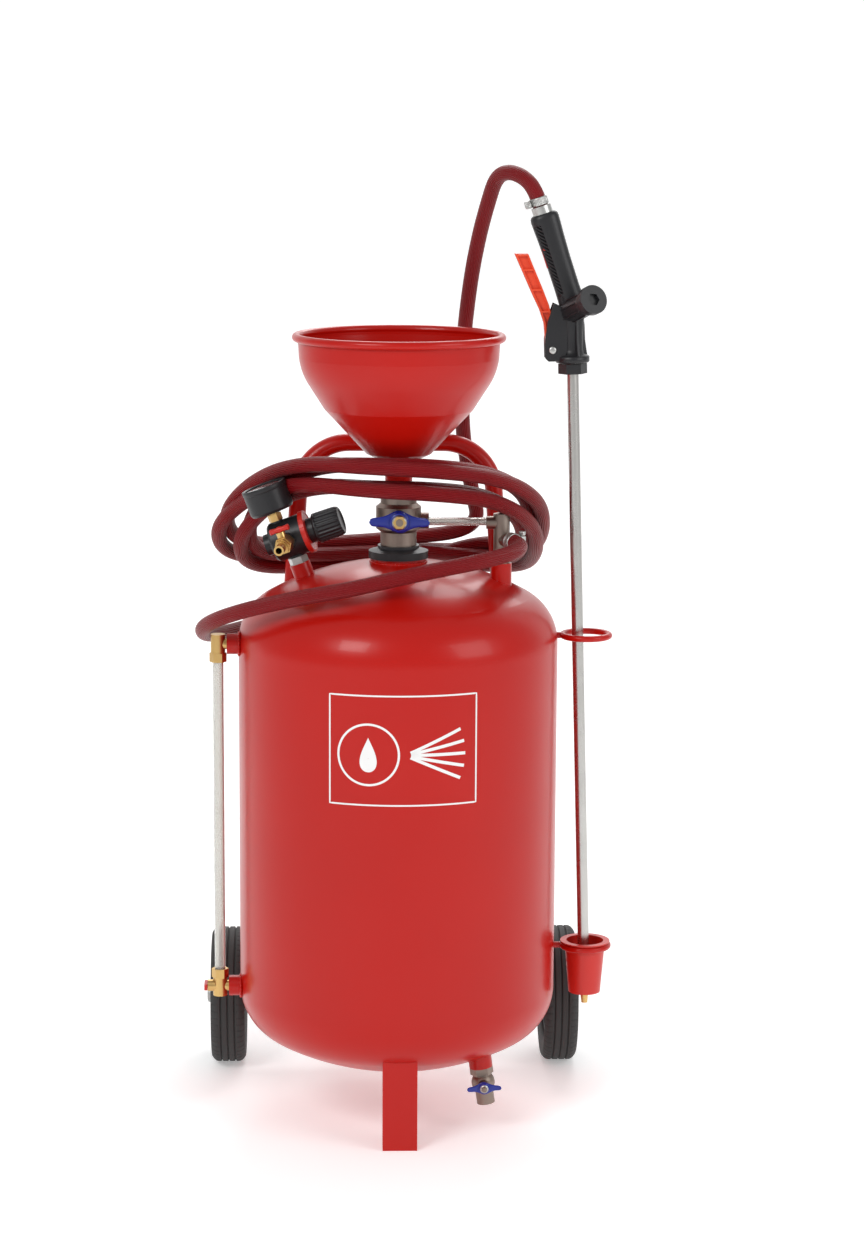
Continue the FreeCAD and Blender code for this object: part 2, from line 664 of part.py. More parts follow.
def outlet():
    low = dim(629)
    port_height = dim(674)
    left = facing((-1, 0, 0), (0, 1, 0))
    tail_way = facing((0.6, -0.8, 0), (0, 0, 1))
    body = join(cylinder(S.outlet_body_radius, 55, OUTLET, 0, 0, low),
                hexagon(11.5, 9, OUTLET, 0, 0, low + 4),
                cylinder(7, 17, OUTLET, 0, 0, port_height, left),
                cylinder(8, 12, OUTLET, 0, 0, 655, tail_way))
    sub_part("outlet_fitting", body)
    tube_end = S.outlet_x - 17
    tube_start = dim(34)
    sub_part("air_tube", cut(
        cylinder(4.5, tube_end - tube_start, WORLD, tube_start, S.outlet_y + 8, port_height, X_AXIS),
        cylinder(3, tube_end - tube_start, WORLD, tube_start, S.outlet_y + 8, port_height, X_AXIS)))


# ---------------------------------------------------------------- drain

def drain():
    middle = 38
    body = join(hexagon(13, 8, DRAIN, 0, 0, 20), cylinder(10, 34, DRAIN, 0, 0, 28),
                ball(13, DRAIN, 0, 0, middle), cylinder(6, 20, DRAIN, 0, 0, middle, BACKWARD))
    sub_part("drain_valve_body", cut(body, cylinder(6, 60, DRAIN, 0, 0, 10),
                                     cylinder(3.05, 40, DRAIN, 0, 0, middle, BACKWARD)))
    wings = plate([(-19, -5), (-7, -6), (7, -6), (19, -3), (19, 5), (7, 6), (-7, 6), (-19, 3)], 5,
                  DRAIN, 0, 23.3, middle)
    sub_part("drain_valve_handle", join(wings, cylinder(3, 14, DRAIN, 0, 7.5, middle, BACKWARD)))


# ---------------------------------------------------------------- gun and lance

GUN = frame(S.tip_x, 0, S.tip_z, Rotation(Vector(0, 1, 0), -S.lance_tilt.value))


def gun():
    sub_part("nozzle", cut(
        join(cone(3.5, 5, 16.8, GUN), cylinder(5, 8, GUN, 0, 0, 16), hexagon(9, 12, GUN, 0, 0, 16.8)),
        cylinder(1.2, 40, GUN, 0, 0, -1)))
    sub_part("lance", cut(cylinder(S.lance_radius, S.lance_top - 28.8, GUN, 0, 0, 28.8),
                          cylinder(S.lance_bore, S.lance_top, GUN, 0, 0, 20)))
    sub_part("lance_nut", cut(hexagon(16, 11, GUN, 0, 0, 719),
                              cylinder(S.lance_radius, 30, GUN, 0, 0, 710)))

    grip_way = facing((-0.289, 0, 0.957))
    grip = frame_in(GUN, 0.6, 0, 796, grip_way)
    side = S.grip_radius
    core = plate([(-2.5, -side, side + 0.5, 1), (2.5, -side), (2.5, side, side + 0.5, 1),
                  (-2.5, side)], 105, grip, 0, 0, 48.5, Rotation(Vector(1, 0, 0), 90))
    cap_way = Vector(20, -45, 15).normalize()
    block_turn = facing((cap_way.x, cap_way.y, cap_way.z))
    block = cylinder(S.block_radius, 66.8, GUN, -3 - 15 * cap_way.x, -15 * cap_way.y,
                     786 - 15 * cap_way.z, block_turn)
    stub = turned([(0, S.lance_top), (18.7, S.lance_top), (18.7, 739), (S.gun_body_radius, 739),
                   (S.gun_body_radius, 792), (0, 792)], GUN)
    gap = S.trigger_width / 2 + 0.5
    cheek = [(-30, 736), (-10, 736), (-8, 775), (-27, 775)]
    cheeks = [plate(cheek, 4, GUN, 0, side * (gap.value + 2), 0) for side in (-1, 1)]
    hollow = box(24, S.trigger_width + 1, 57, GUN, -26.5, 0, 734)
    core = cut(join(join(core, stub), block), hollow)
    rod_start = dim(-24)
    sub_part("gun_body", cut(
        join(core, *cheeks),
        cylinder(S.pin_radius, 60, GUN, S.pivot_x, -30, S.pivot_z, BACKWARD),
        cylinder(S.rod_radius + S.running_gap, 27, GUN, rod_start, 0, 786, X_AXIS),
        cylinder(1.5 + S.running_gap, 15.1, grip, -11, -7.55, 66, BACKWARD),
        box(6, 9.4, 24, grip, -12, 0, 44.5)))
    cap = frame_in(GUN, -3 + 51.8 * cap_way.x, 51.8 * cap_way.y, 786 + 51.8 * cap_way.z, block_turn)
    sub_part("gun_cap", cut(cylinder(16, 8, cap), hexagon(7, 10, cap, 0, 0, 3)))
    sub_part("hose_ferrule", cut(cylinder(11, 10.4, grip, 0, 0, 101), cylinder(4, 20, grip, 0, 0, 98)))
    sub_part("trigger_pin", cylinder(S.pin_radius, 22, GUN, S.pivot_x, -11, S.pivot_z, BACKWARD))
    lever = plate([(-29, 740), (-16, 740), (-16, 752), (-20, 775), (-32, 815), (-47, 851),
                   (-61, 852), (-43, 805), (-31, 775)], S.trigger_width, GUN)
    sub_part("trigger", cut(lever, cylinder(S.pin_radius + S.running_gap, 40, GUN, S.pivot_x, -20,
                                            S.pivot_z, BACKWARD)))
    sub_part("valve_rod", cylinder(S.rod_radius, 18, GUN, -22.4, 0, 786, X_AXIS))
    sub_part("trigger_lock", join(box(3.5, 9, 22, grip, -12.5, 0, 45),
                                  cylinder(1.5, 15, grip, -11, -7.5, 66, BACKWARD)))


def frame_in(base, x, y, z, rotation):
    """A frame inside another frame."""
    return base.multiply(Placement(point(x, y, z), rotation))


# ---------------------------------------------------------------- hose

RUN_ROUTE = [
    (121, -17, 655), (133, -36, 654), (131, -62, 652), (112, -88, 649), (80, -110, 645),
    (38, -124, 639), (-8, -130, 630), (-55, -130, 619), (-98, -124, 611), (-140, -109, 600),
    (-177, -87, 587), (-205, -56, 572), (-218, -20, 557), (-216, 18, 544), (-203, 56, 537),
    (-182, 96, 535), (-150, 134, 538), (-108, 165, 547), (-60, 186, 562), (-10, 194, 583),
    (30, 190, 600),
]
BUNDLE_ROUTE = [
    (38, -60, 728), (-30, -58, 730), (-96, -6, 728), (-150, 60, 702), (-190, 100, 655),
    (-178, 146, 614), (-105, 182, 607), (0, 196, 612), (90, 184, 610), (146, 141, 614),
    (156.5, 76, 645), (146, 14, 688), (102, -36, 718),
]
RISER_ROUTE = [
    (98, 178, 612), (86, 176, 660), (70, 160, 745), (72, 134, 845), (82, 104, 930),
    (91, 84, 985), (100, 65, 1023), (107, 44, 1050), (119, 26, 1058), (135, 10, 1053),
    (147.6, 0, 1039.4), (153.7, 0, 1021.4),
]


def hose_tube(node, route):
    """A plain tube along a route. Prints its bends and how its volume compares."""
    wire, radii = tangent_path(route)
    shape = swept(wire, S.hose_radius.value)
    expected = wire.Length * math.pi * S.hose_radius.value ** 2
    print(f"{node}: {wire.Length:.0f} mm, volume ratio {shape.Volume / expected:.4f}, bends",
          " ".join(f"{radius:.0f}" for radius in radii))
    return sub_part(node, feature(shape))


def clamp_band(base, inner):
    """A worm-drive hose clamp: band and screw housing."""
    band = cut(cylinder(inner + 1.2, 9, base), cylinder(inner, 12, base, 0, 0, -1))
    screw = cylinder(3.5, 16, base, -8, inner + 4, 4.5, X_AXIS)
    return cut(join(band, screw), cylinder(inner, 12, base, 0, 0, -1))


def hose():
    hose_tube("hose_run", RUN_ROUTE)
    hose_tube("hose_riser", RISER_ROUTE)
    wire, _ = tangent_path(BUNDLE_ROUTE, None, True)
    bundle = feature(swept(wire, S.bundle_radius.value))
    middle = S.boss_top + S.collar_height + S.valve_length / 2
    clear = [
        cylinder(S.wing_reach + 5, 13, WORLD, 0, -33.5, middle, FORWARD),
        cylinder(S.knob_radius + 2, 50, REGULATOR, 26, 0, 46, X_AXIS),
        cylinder(S.regulator_radius + 4, 60, REGULATOR, -32, 0, 46, X_AXIS),
        cylinder(S.dial_radius + 2, 60, REGULATOR, -8, 0, 66),
        cylinder(S.valve_end_radius + 3, 120, WORLD, 0, 0, 640),
        cylinder(14, 100, WORLD, S.outlet_x, S.outlet_y, 610),
        cylinder(9, 60, WORLD, 30, 0, 674, X_AXIS),
    ]
    sub_part("hose_coil", cut(bundle, *clear))
    start = Vector(*RUN_ROUTE[0])
    way = (Vector(*RUN_ROUTE[1]) - start).normalize()
    at_outlet = start + way * 3
    sub_part("hose_clamp_outlet", clamp_band(
        frame(at_outlet.x, at_outlet.y, at_outlet.z, facing((way.x, way.y, way.z), (0, 0, -1))),
        S.hose_radius))
    end = Vector(*RISER_ROUTE[-1])
    way = (Vector(*RISER_ROUTE[-2]) - end).normalize()
    at_gun = end + way * 0.7
    sub_part("hose_clamp_gun", clamp_band(
        frame(at_gun.x, at_gun.y, at_gun.z, facing((way.x, way.y, way.z), (0, -1, 0))),
        S.hose_radius))


# ---------------------------------------------------------------- build and export

def main():
    for build in (tank, frame_pieces, wheels, filler_column, funnel, level_gauge, regulator, outlet,
                  drain, gun, hose):
        build()
    doc.recompute()
    for thing in doc.Objects:
        if "Invalid" in thing.State or "Error" in thing.State:
            raise RuntimeError(f"{thing.Label} failed: {thing.State}")
    for thing in NODES:
        if thing.Shape.isNull() or not thing.Shape.isValid():
            raise RuntimeError(f"{thing.Label} has no valid shape")
    os.makedirs("parts", exist_ok=True)
    for thing in NODES:
        thing.Shape.exportStep(f"parts/{thing.Label}.step")
        print(f"{thing.Label}: {len(thing.Shape.Solids)} solid, {thing.Shape.Volume / 1000:.1f} cm3")


main()
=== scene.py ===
"""Looks for the wheeled pressure sprayer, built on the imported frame.

Each class makes one sub-assembly's visible pieces and seats them on the frame's bodies. Metres.
"""
import json
import logging
import math
from dataclasses import dataclass
from enum import Enum

import bmesh
import bpy
import numpy as np
from mathutils import Matrix, Vector


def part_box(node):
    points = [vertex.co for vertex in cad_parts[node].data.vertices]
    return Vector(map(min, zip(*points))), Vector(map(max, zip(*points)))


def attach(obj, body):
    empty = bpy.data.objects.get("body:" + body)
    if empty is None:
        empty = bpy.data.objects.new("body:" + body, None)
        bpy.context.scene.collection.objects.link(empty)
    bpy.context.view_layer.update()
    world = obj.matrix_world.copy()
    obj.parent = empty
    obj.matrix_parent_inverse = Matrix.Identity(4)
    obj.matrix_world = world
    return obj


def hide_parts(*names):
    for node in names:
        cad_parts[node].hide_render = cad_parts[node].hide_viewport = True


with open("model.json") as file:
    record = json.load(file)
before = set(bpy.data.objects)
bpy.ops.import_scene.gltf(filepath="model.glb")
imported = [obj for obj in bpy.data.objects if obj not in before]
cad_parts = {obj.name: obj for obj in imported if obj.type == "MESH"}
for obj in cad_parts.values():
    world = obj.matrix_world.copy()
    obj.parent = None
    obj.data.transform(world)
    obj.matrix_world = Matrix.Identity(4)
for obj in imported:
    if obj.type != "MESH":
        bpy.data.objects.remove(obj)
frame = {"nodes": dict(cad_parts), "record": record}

log = logging.getLogger("sprayer")
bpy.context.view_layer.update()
MM = 0.001
Colour = tuple[float, float, float]
ROOT = "tank"


class Grain(Enum):
    """What the surface's fine relief is made of."""

    SMOOTH = "smooth"
    ORANGE_PEEL = "orange peel"
    MOULDED = "moulded"
    DRAWN = "drawn"
    CAST = "cast"
    WOVEN = "woven"


@dataclass(frozen=True)
class Finish:
    """One material: colour, its variation, shine and relief."""

    name: str
    colour: Colour
    shade: Colour
    roughness: float
    metallic: float = 0.0
    coat: float = 0.0
    grain: Grain = Grain.SMOOTH
    grain_size: float = 400.0
    relief: float = 0.1
    spread: float = 6.0
    transmission: float = 0.0
    glow: float = 0.0
    specular: float = 0.5


FINISHES = {
    "tank_paint": Finish("tank_paint", (0.50, 0.005, 0.001), (0.44, 0.004, 0.001), 0.3, coat=0.12,
                         specular=0.28, grain=Grain.ORANGE_PEEL, grain_size=260, relief=0.035),
    "red_plastic": Finish("red_plastic", (0.62, 0.02, 0.01), (0.52, 0.012, 0.008), 0.36,
                          grain=Grain.MOULDED, grain_size=900, relief=0.06),
    "trigger_plastic": Finish("trigger_plastic", (0.86, 0.085, 0.02), (0.78, 0.06, 0.015), 0.4,
                              grain=Grain.MOULDED, grain_size=900, relief=0.06),
    "tyre": Finish("tyre", (0.018, 0.018, 0.019), (0.045, 0.044, 0.042), 0.72,
                   grain=Grain.CAST, grain_size=500, relief=0.2),
    "hub": Finish("hub", (0.02, 0.02, 0.022), (0.035, 0.035, 0.036), 0.5,
                  grain=Grain.MOULDED, grain_size=800, relief=0.1),
    "black_plastic": Finish("black_plastic", (0.009, 0.009, 0.011), (0.02, 0.02, 0.022), 0.36,
                            specular=0.4,
                            grain=Grain.MOULDED, grain_size=900, relief=0.12),
    "zinc": Finish("zinc", (0.62, 0.62, 0.6), (0.42, 0.42, 0.41), 0.34, metallic=1.0,
                   grain=Grain.DRAWN, grain_size=500, relief=0.08),
    "nickel": Finish("nickel", (0.36, 0.30, 0.26), (0.22, 0.17, 0.14), 0.42, metallic=1.0,
                     grain=Grain.CAST, grain_size=320, relief=0.2),
    "blue_handle": Finish("blue_handle", (0.006, 0.025, 0.33), (0.004, 0.014, 0.22), 0.3, coat=0.2,
                          grain=Grain.ORANGE_PEEL, grain_size=600, relief=0.08),
    "brass": Finish("brass", (0.78, 0.52, 0.2), (0.5, 0.32, 0.12), 0.3, metallic=1.0,
                    grain=Grain.DRAWN, grain_size=420, relief=0.08),
    "seat": Finish("seat", (0.85, 0.85, 0.83), (0.8, 0.8, 0.78), 0.4),
    "clear": Finish("clear", (0.93, 0.93, 0.9), (0.85, 0.85, 0.8), 0.12, transmission=0.75,
                    spread=18),
    "lens": Finish("lens", (0.97, 0.98, 0.98), (0.95, 0.96, 0.96), 0.04, transmission=0.95),
    "dial": Finish("dial", (0.86, 0.86, 0.84), (0.82, 0.82, 0.8), 0.5),
    "steel_tube": Finish("steel_tube", (0.60, 0.59, 0.57), (0.45, 0.44, 0.42), 0.27, metallic=1.0,
                         grain=Grain.DRAWN, grain_size=700, relief=0.05, spread=30),
    "hose": Finish("hose", (0.30, 0.006, 0.010), (0.22, 0.004, 0.007), 0.42,
                   specular=0.3, grain=Grain.WOVEN, grain_size=1.0, relief=1.0, spread=12),
    "white_ink": Finish("white_ink", (0.88, 0.88, 0.87), (0.8, 0.8, 0.8), 0.4),
    "floor": Finish("floor", (0.93, 0.93, 0.93), (0.92, 0.92, 0.92), 0.85, glow=0.32),
}


class Paintbox:
    """Makes each finish's node material once."""

    def __init__(self) -> None:
        self.made: dict[str, bpy.types.Material] = {}

    def get(self, name: str) -> bpy.types.Material:
        """Return the material of a finish, making it on first use.

        Args:
            name: The finish's key.

        Returns:
            The material.
        """
        if name not in self.made:
            self.made[name] = self._make(FINISHES[name])
        return self.made[name]

    def _make(self, finish: Finish) -> bpy.types.Material:
        """Build colour, roughness and bump from noise on Object coordinates."""
        material = bpy.data.materials.new(finish.name)
        material.use_nodes = True
        nodes, links = material.node_tree.nodes, material.node_tree.links
        shader = nodes["Principled BSDF"]
        place = nodes.new("ShaderNodeTexCoord").outputs["Object"]
        cloud = nodes.new("ShaderNodeTexNoise")
        cloud.inputs["Scale"].default_value = finish.spread
        cloud.inputs["Detail"].default_value = 5.0
        links.new(place, cloud.inputs["Vector"])
        mix = nodes.new("ShaderNodeMix")
        mix.data_type = "RGBA"
        mix.inputs["A"].default_value = (*finish.colour, 1)
        mix.inputs["B"].default_value = (*finish.shade, 1)
        links.new(cloud.outputs["Fac"], mix.inputs["Factor"])
        links.new(mix.outputs["Result"], shader.inputs["Base Color"])
        rough = nodes.new("ShaderNodeMapRange")
        rough.inputs["To Min"].default_value = finish.roughness * 0.8
        rough.inputs["To Max"].default_value = min(1.0, finish.roughness * 1.2)
        links.new(cloud.outputs["Fac"], rough.inputs["Value"])
        links.new(rough.outputs["Result"], shader.inputs["Roughness"])
        shader.inputs["Metallic"].default_value = finish.metallic
        shader.inputs["Coat Weight"].default_value = finish.coat
        shader.inputs["Coat Roughness"].default_value = 0.08
        shader.inputs["Specular IOR Level"].default_value = finish.specular
        shader.inputs["Emission Color"].default_value = (1, 1, 1, 1)
        shader.inputs["Emission Strength"].default_value = finish.glow
        shader.inputs["Transmission Weight"].default_value = finish.transmission
        if finish.grain is not Grain.SMOOTH:
            self._relief(finish, nodes, links, place, shader)
        return material

    @staticmethod
    def _relief(finish: Finish, nodes: bpy.types.Nodes, links: bpy.types.NodeLinks,
                place: bpy.types.NodeSocket, shader: bpy.types.Node) -> None:
        """Add the fine relief: noise for skins, stretched noise for drawn metal, ribs for hose."""
        bump = nodes.new("ShaderNodeBump")
        bump.inputs["Strength"].default_value = finish.relief
        bump.inputs["Distance"].default_value = 0.0006
        if finish.grain is Grain.WOVEN:
            turn = nodes.new("ShaderNodeAttribute")
            turn.attribute_name = "around"
            ribs = nodes.new("ShaderNodeMath")
            ribs.operation = "SINE"
            scale = nodes.new("ShaderNodeMath")
            scale.operation = "MULTIPLY"
            scale.inputs[1].default_value = 2 * math.pi * 26
            links.new(turn.outputs["Fac"], scale.inputs[0])
            links.new(scale.outputs[0], ribs.inputs[0])
            links.new(ribs.outputs[0], bump.inputs["Height"])
        else:
            grain = nodes.new("ShaderNodeTexNoise")
            grain.inputs["Detail"].default_value = 3.0
            stretch = nodes.new("ShaderNodeMapping")
            size = finish.grain_size
            along = size * 0.05 if finish.grain is Grain.DRAWN else size
            stretch.inputs["Scale"].default_value = (size, size, along)
            links.new(place, stretch.inputs["Vector"])
            links.new(stretch.outputs["Vector"], grain.inputs["Vector"])
            links.new(grain.outputs["Fac"], bump.inputs["Height"])
        links.new(bump.outputs["Normal"], shader.inputs["Normal"])


PAINT = Paintbox()


# ---------------------------------------------------------------- mesh helpers

def node_box(node: str) -> tuple[Vector, Vector]:
    """The node's lowest and highest corner."""
    low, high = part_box(node)
    return Vector(low), Vector(high)


def node_centre(node: str) -> Vector:
    """The middle of a node's box."""
    low, high = node_box(node)
    return (low + high) / 2


AXIS = node_centre("funnel").to_2d()


def at(x: float, y: float, z: float) -> Vector:
    """A point given in mm from the tank's axis on the floor."""
    return Vector((AXIS.x + x * MM, AXIS.y + y * MM, z * MM))


def grid_mesh(grid: np.ndarray, wrap_u: bool = False, wrap_v: bool = True,
              cap: bool = False) -> bpy.types.Mesh:
    """A mesh from a grid of points, rows by columns.

    Args:
        grid: Points shaped (rows, columns, 3).
        wrap_u: Join the last row to the first.
        wrap_v: Join the last column to the first.
        cap: Close the first and last rows with flat faces.

    Returns:
        The mesh, smooth shaded.
    """
    rows, columns = grid.shape[:2]
    across = columns if wrap_v else columns - 1
    down = rows if wrap_u else rows - 1
    i, j = np.meshgrid(np.arange(down), np.arange(across), indexing="ij")
    i2, j2 = (i + 1) % rows, (j + 1) % columns
    quads = np.stack([i * columns + j, i * columns + j2, i2 * columns + j2, i2 * columns + j], -1)
    faces = quads.reshape(-1, 4).tolist()
    if cap:
        faces.append(list(range(columns))[::-1])
        faces.append(list(range((rows - 1) * columns, rows * columns)))
    mesh = bpy.data.meshes.new("surface")
    mesh.from_pydata(grid.reshape(-1, 3).tolist(), [], faces)
    mesh.validate()
    mesh.shade_smooth()
    return mesh


def frame_matrix(origin: Vector, up: Vector, across: Vector) -> Matrix:
    """A frame with +Z along up and +X as near as possible to across."""
    z = up.normalized()
    x = (across - z * across.dot(z)).normalized()
    y = z.cross(x)
    matrix = Matrix((x, y, z)).transposed().to_4x4()
    matrix.translation = origin
    return matrix


def piece(name: str, mesh: bpy.types.Mesh, finish: str, body: str, place: Matrix | None = None) -> bpy.types.Object:
    """An object whose place is in its mesh, riding on a body.

    Args:
        name: The piece's name.
        mesh: Its mesh, in its own frame.
        finish: The finish's key.
        body: The body that it rides on.
        place: Where it goes, baked into the mesh.

    Returns:
        The object.
    """
    if place is not None:
        mesh.transform(place)
    mesh.name = name
    mesh.materials.clear()
    mesh.materials.append(PAINT.get(finish))
    thing = bpy.data.objects.new(name, mesh)
    bpy.context.scene.collection.objects.link(thing)
    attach(thing, body)
    return thing


def outward(mesh: bpy.types.Mesh, weld: float = 0.0) -> bpy.types.Mesh:
    """Turn a closed mesh's faces outward, first welding points closer than a distance in metres."""
    work = bmesh.new()
    work.from_mesh(mesh)
    if weld:
        bmesh.ops.remove_doubles(work, verts=work.verts, dist=weld)
    bmesh.ops.recalc_face_normals(work, faces=work.faces)
    work.to_mesh(mesh)
    work.free()
    return mesh


def full_turn(segments: int) -> np.ndarray:
    """Evenly spaced angles round a circle."""
    return np.linspace(0, 2 * math.pi, segments, endpoint=False)


def revolved(reach: np.ndarray, height: np.ndarray, turn: np.ndarray) -> np.ndarray:
    """A grid of points round Z.

    Args:
        reach: Radii, one row per height, either one column or one per angle.
        height: One height per row.
        turn: The angles.

    Returns:
        Points shaped (heights, angles, 3).
    """
    return np.stack([reach * np.cos(turn), reach * np.sin(turn),
                     np.repeat(height[:, None], len(turn), axis=1)], -1)


def lathe(outline: list[tuple[float, float]], segments: int = 64) -> bpy.types.Mesh:
    """A turned mesh from (radius, height) corners in mm, closed on itself or at the axis."""
    profile = np.array(outline) * MM
    grid = revolved(profile[:, 0:1], profile[:, 1], full_turn(segments))
    return outward(grid_mesh(grid), weld=1e-6)


def rounded(thing: bpy.types.Object, width: float, segments: int = 2) -> bpy.types.Object:
    """Round an object's sharp edges, width in mm."""
    bevel = thing.modifiers.new("edges", "BEVEL")
    bevel.width = width * MM
    bevel.segments = segments
    bevel.limit_method = "ANGLE"
    bevel.angle_limit = math.radians(38)
    bevel.harden_normals = True
    return thing


def tube_along(points: np.ndarray, radius: float, sides: int = 24,
               cap: bool = True) -> bpy.types.Mesh:
    """A round tube along points, its frame carried without twist. "around" runs 0 to 1 round it."""
    points = np.asarray(points, float)
    ahead = np.gradient(points, axis=0)
    ahead /= np.linalg.norm(ahead, axis=1, keepdims=True)
    side = np.cross(ahead[0], (0.1, 0.2, 1.0))
    sides_of = []
    for way in ahead:
        side = side - way * side.dot(way)
        side = side / np.linalg.norm(side)
        sides_of.append(side)
    across = np.array(sides_of)
    over = np.cross(ahead, across)
    turn = full_turn(sides)
    ring = (across[:, None] * np.cos(turn)[None, :, None]
            + over[:, None] * np.sin(turn)[None, :, None])
    mesh = grid_mesh(points[:, None] + ring * radius, cap=cap)
    share = mesh.attributes.new("around", "FLOAT", "CORNER")
    columns = np.empty(len(mesh.loops), np.int32)
    mesh.loops.foreach_get("vertex_index", columns)
    value = (columns % sides) / sides
    starts = np.arange(0, len(mesh.loops) // 4 * 4, 4)
    value = value.astype(np.float32)
    for offset in (1, 2):
        wrapped = value[starts + offset] < value[starts]
        value[starts[wrapped] + offset] += 1.0
    share.data.foreach_set("value", value)
    return mesh


def spline_points(route: np.ndarray, closed: bool = False) -> np.ndarray:
    """Points read from the NURBS spline that has the route as its control points."""
    curve = bpy.data.curves.new("route", "CURVE")
    curve.dimensions = "3D"
    spline = curve.splines.new("NURBS")
    spline.points.add(len(route) - 1)
    flat = np.concatenate([route, np.ones((len(route), 1))], axis=1).ravel()
    spline.points.foreach_set("co", flat)
    spline.use_cyclic_u = closed
    spline.order_u = 3
    spline.use_endpoint_u = not closed
    spline.resolution_u = 12
    holder = bpy.data.objects.new("route", curve)
    mesh = bpy.data.meshes.new_from_object(holder)
    points = np.empty(len(mesh.vertices) * 3)
    mesh.vertices.foreach_get("co", points)
    bpy.data.objects.remove(holder)
    bpy.data.meshes.remove(mesh)
    return points.reshape(-1, 3)


# ---------------------------------------------------------------- hose

@dataclass
class Hose:
    """The long hose: front run, four loose turns over the valve, and the riser to the gun."""

    radius: float = 8.5
    turns: int = 4
    run: tuple = (
        (121, -17, 655), (133, -36, 654), (131, -62, 652), (112, -88, 649), (80, -110, 645),
        (38, -124, 639), (-8, -130, 630), (-55, -130, 619), (-98, -124, 611), (-140, -109, 600),
        (-177, -87, 587), (-205, -56, 572), (-218, -20, 557), (-216, 18, 544), (-203, 56, 537),
        (-182, 96, 535), (-150, 134, 538), (-108, 165, 547), (-60, 186, 562), (-10, 194, 583),
    )
    loop: tuple = (
        # point, then how far the turns fan out sideways and up there
        (90, 184, 610, 13, 13), (146, 141, 614, 13, 13), (156.5, 76, 645, 13, 18),
        (146, 14, 688, 13, 20), (102, -36, 718, 13, 18), (38, -60, 728, 14, 18),
        (-30, -58, 730, 14, 18), (-96, -6, 728, 14, 16), (-150, 60, 702, 20, 14),
        (-190, 100, 655, 24, 14), (-178, 146, 614, 20, 13), (-105, 182, 607, 14, 13),
        (0, 196, 612, 13, 13),
    )
    riser: tuple = (
        (100, 168, 640), (88, 166, 690), (76, 152, 760), (75, 130, 850), (82, 104, 930),
        (91, 84, 985), (100, 65, 1023), (107, 44, 1050), (119, 26, 1058), (135, 10, 1053),
        (147.6, 0, 1039.4), (153.7, 0, 1021.4),
    )

    def route(self) -> np.ndarray:
        """The control points: the turns wind round the bundle's middle, a quarter turn each lap."""
        middle = np.array(self.loop, float)
        count = len(middle)
        step = np.arange(count * self.turns)
        here = middle[step % count]
        outward = here[:, :2] / np.linalg.norm(here[:, :2], axis=1, keepdims=True)
        phase = math.radians(135) + 2 * math.pi * (step - 6) / (count * self.turns)
        flat = outward * (here[:, 3] * np.cos(phase))[:, None]
        lift = here[:, 4] * np.sin(phase)
        turns = np.column_stack([here[:, :2] + flat, here[:, 2] + lift])
        points = np.vstack([np.array(self.run, float), turns, np.array(self.riser, float)])
        return points * MM + np.array([AXIS.x, AXIS.y, 0])

    def build(self, clamps: list[bpy.types.Object]) -> None:
        """Make the hose. The clamps argument, the pieces on it, is not used."""
        path = spline_points(self.route())
        tube = piece("hose_tube", tube_along(path, self.radius * MM), "hose", ROOT)
        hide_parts("hose_run", "hose_coil", "hose_riser")


# ---------------------------------------------------------------- tank

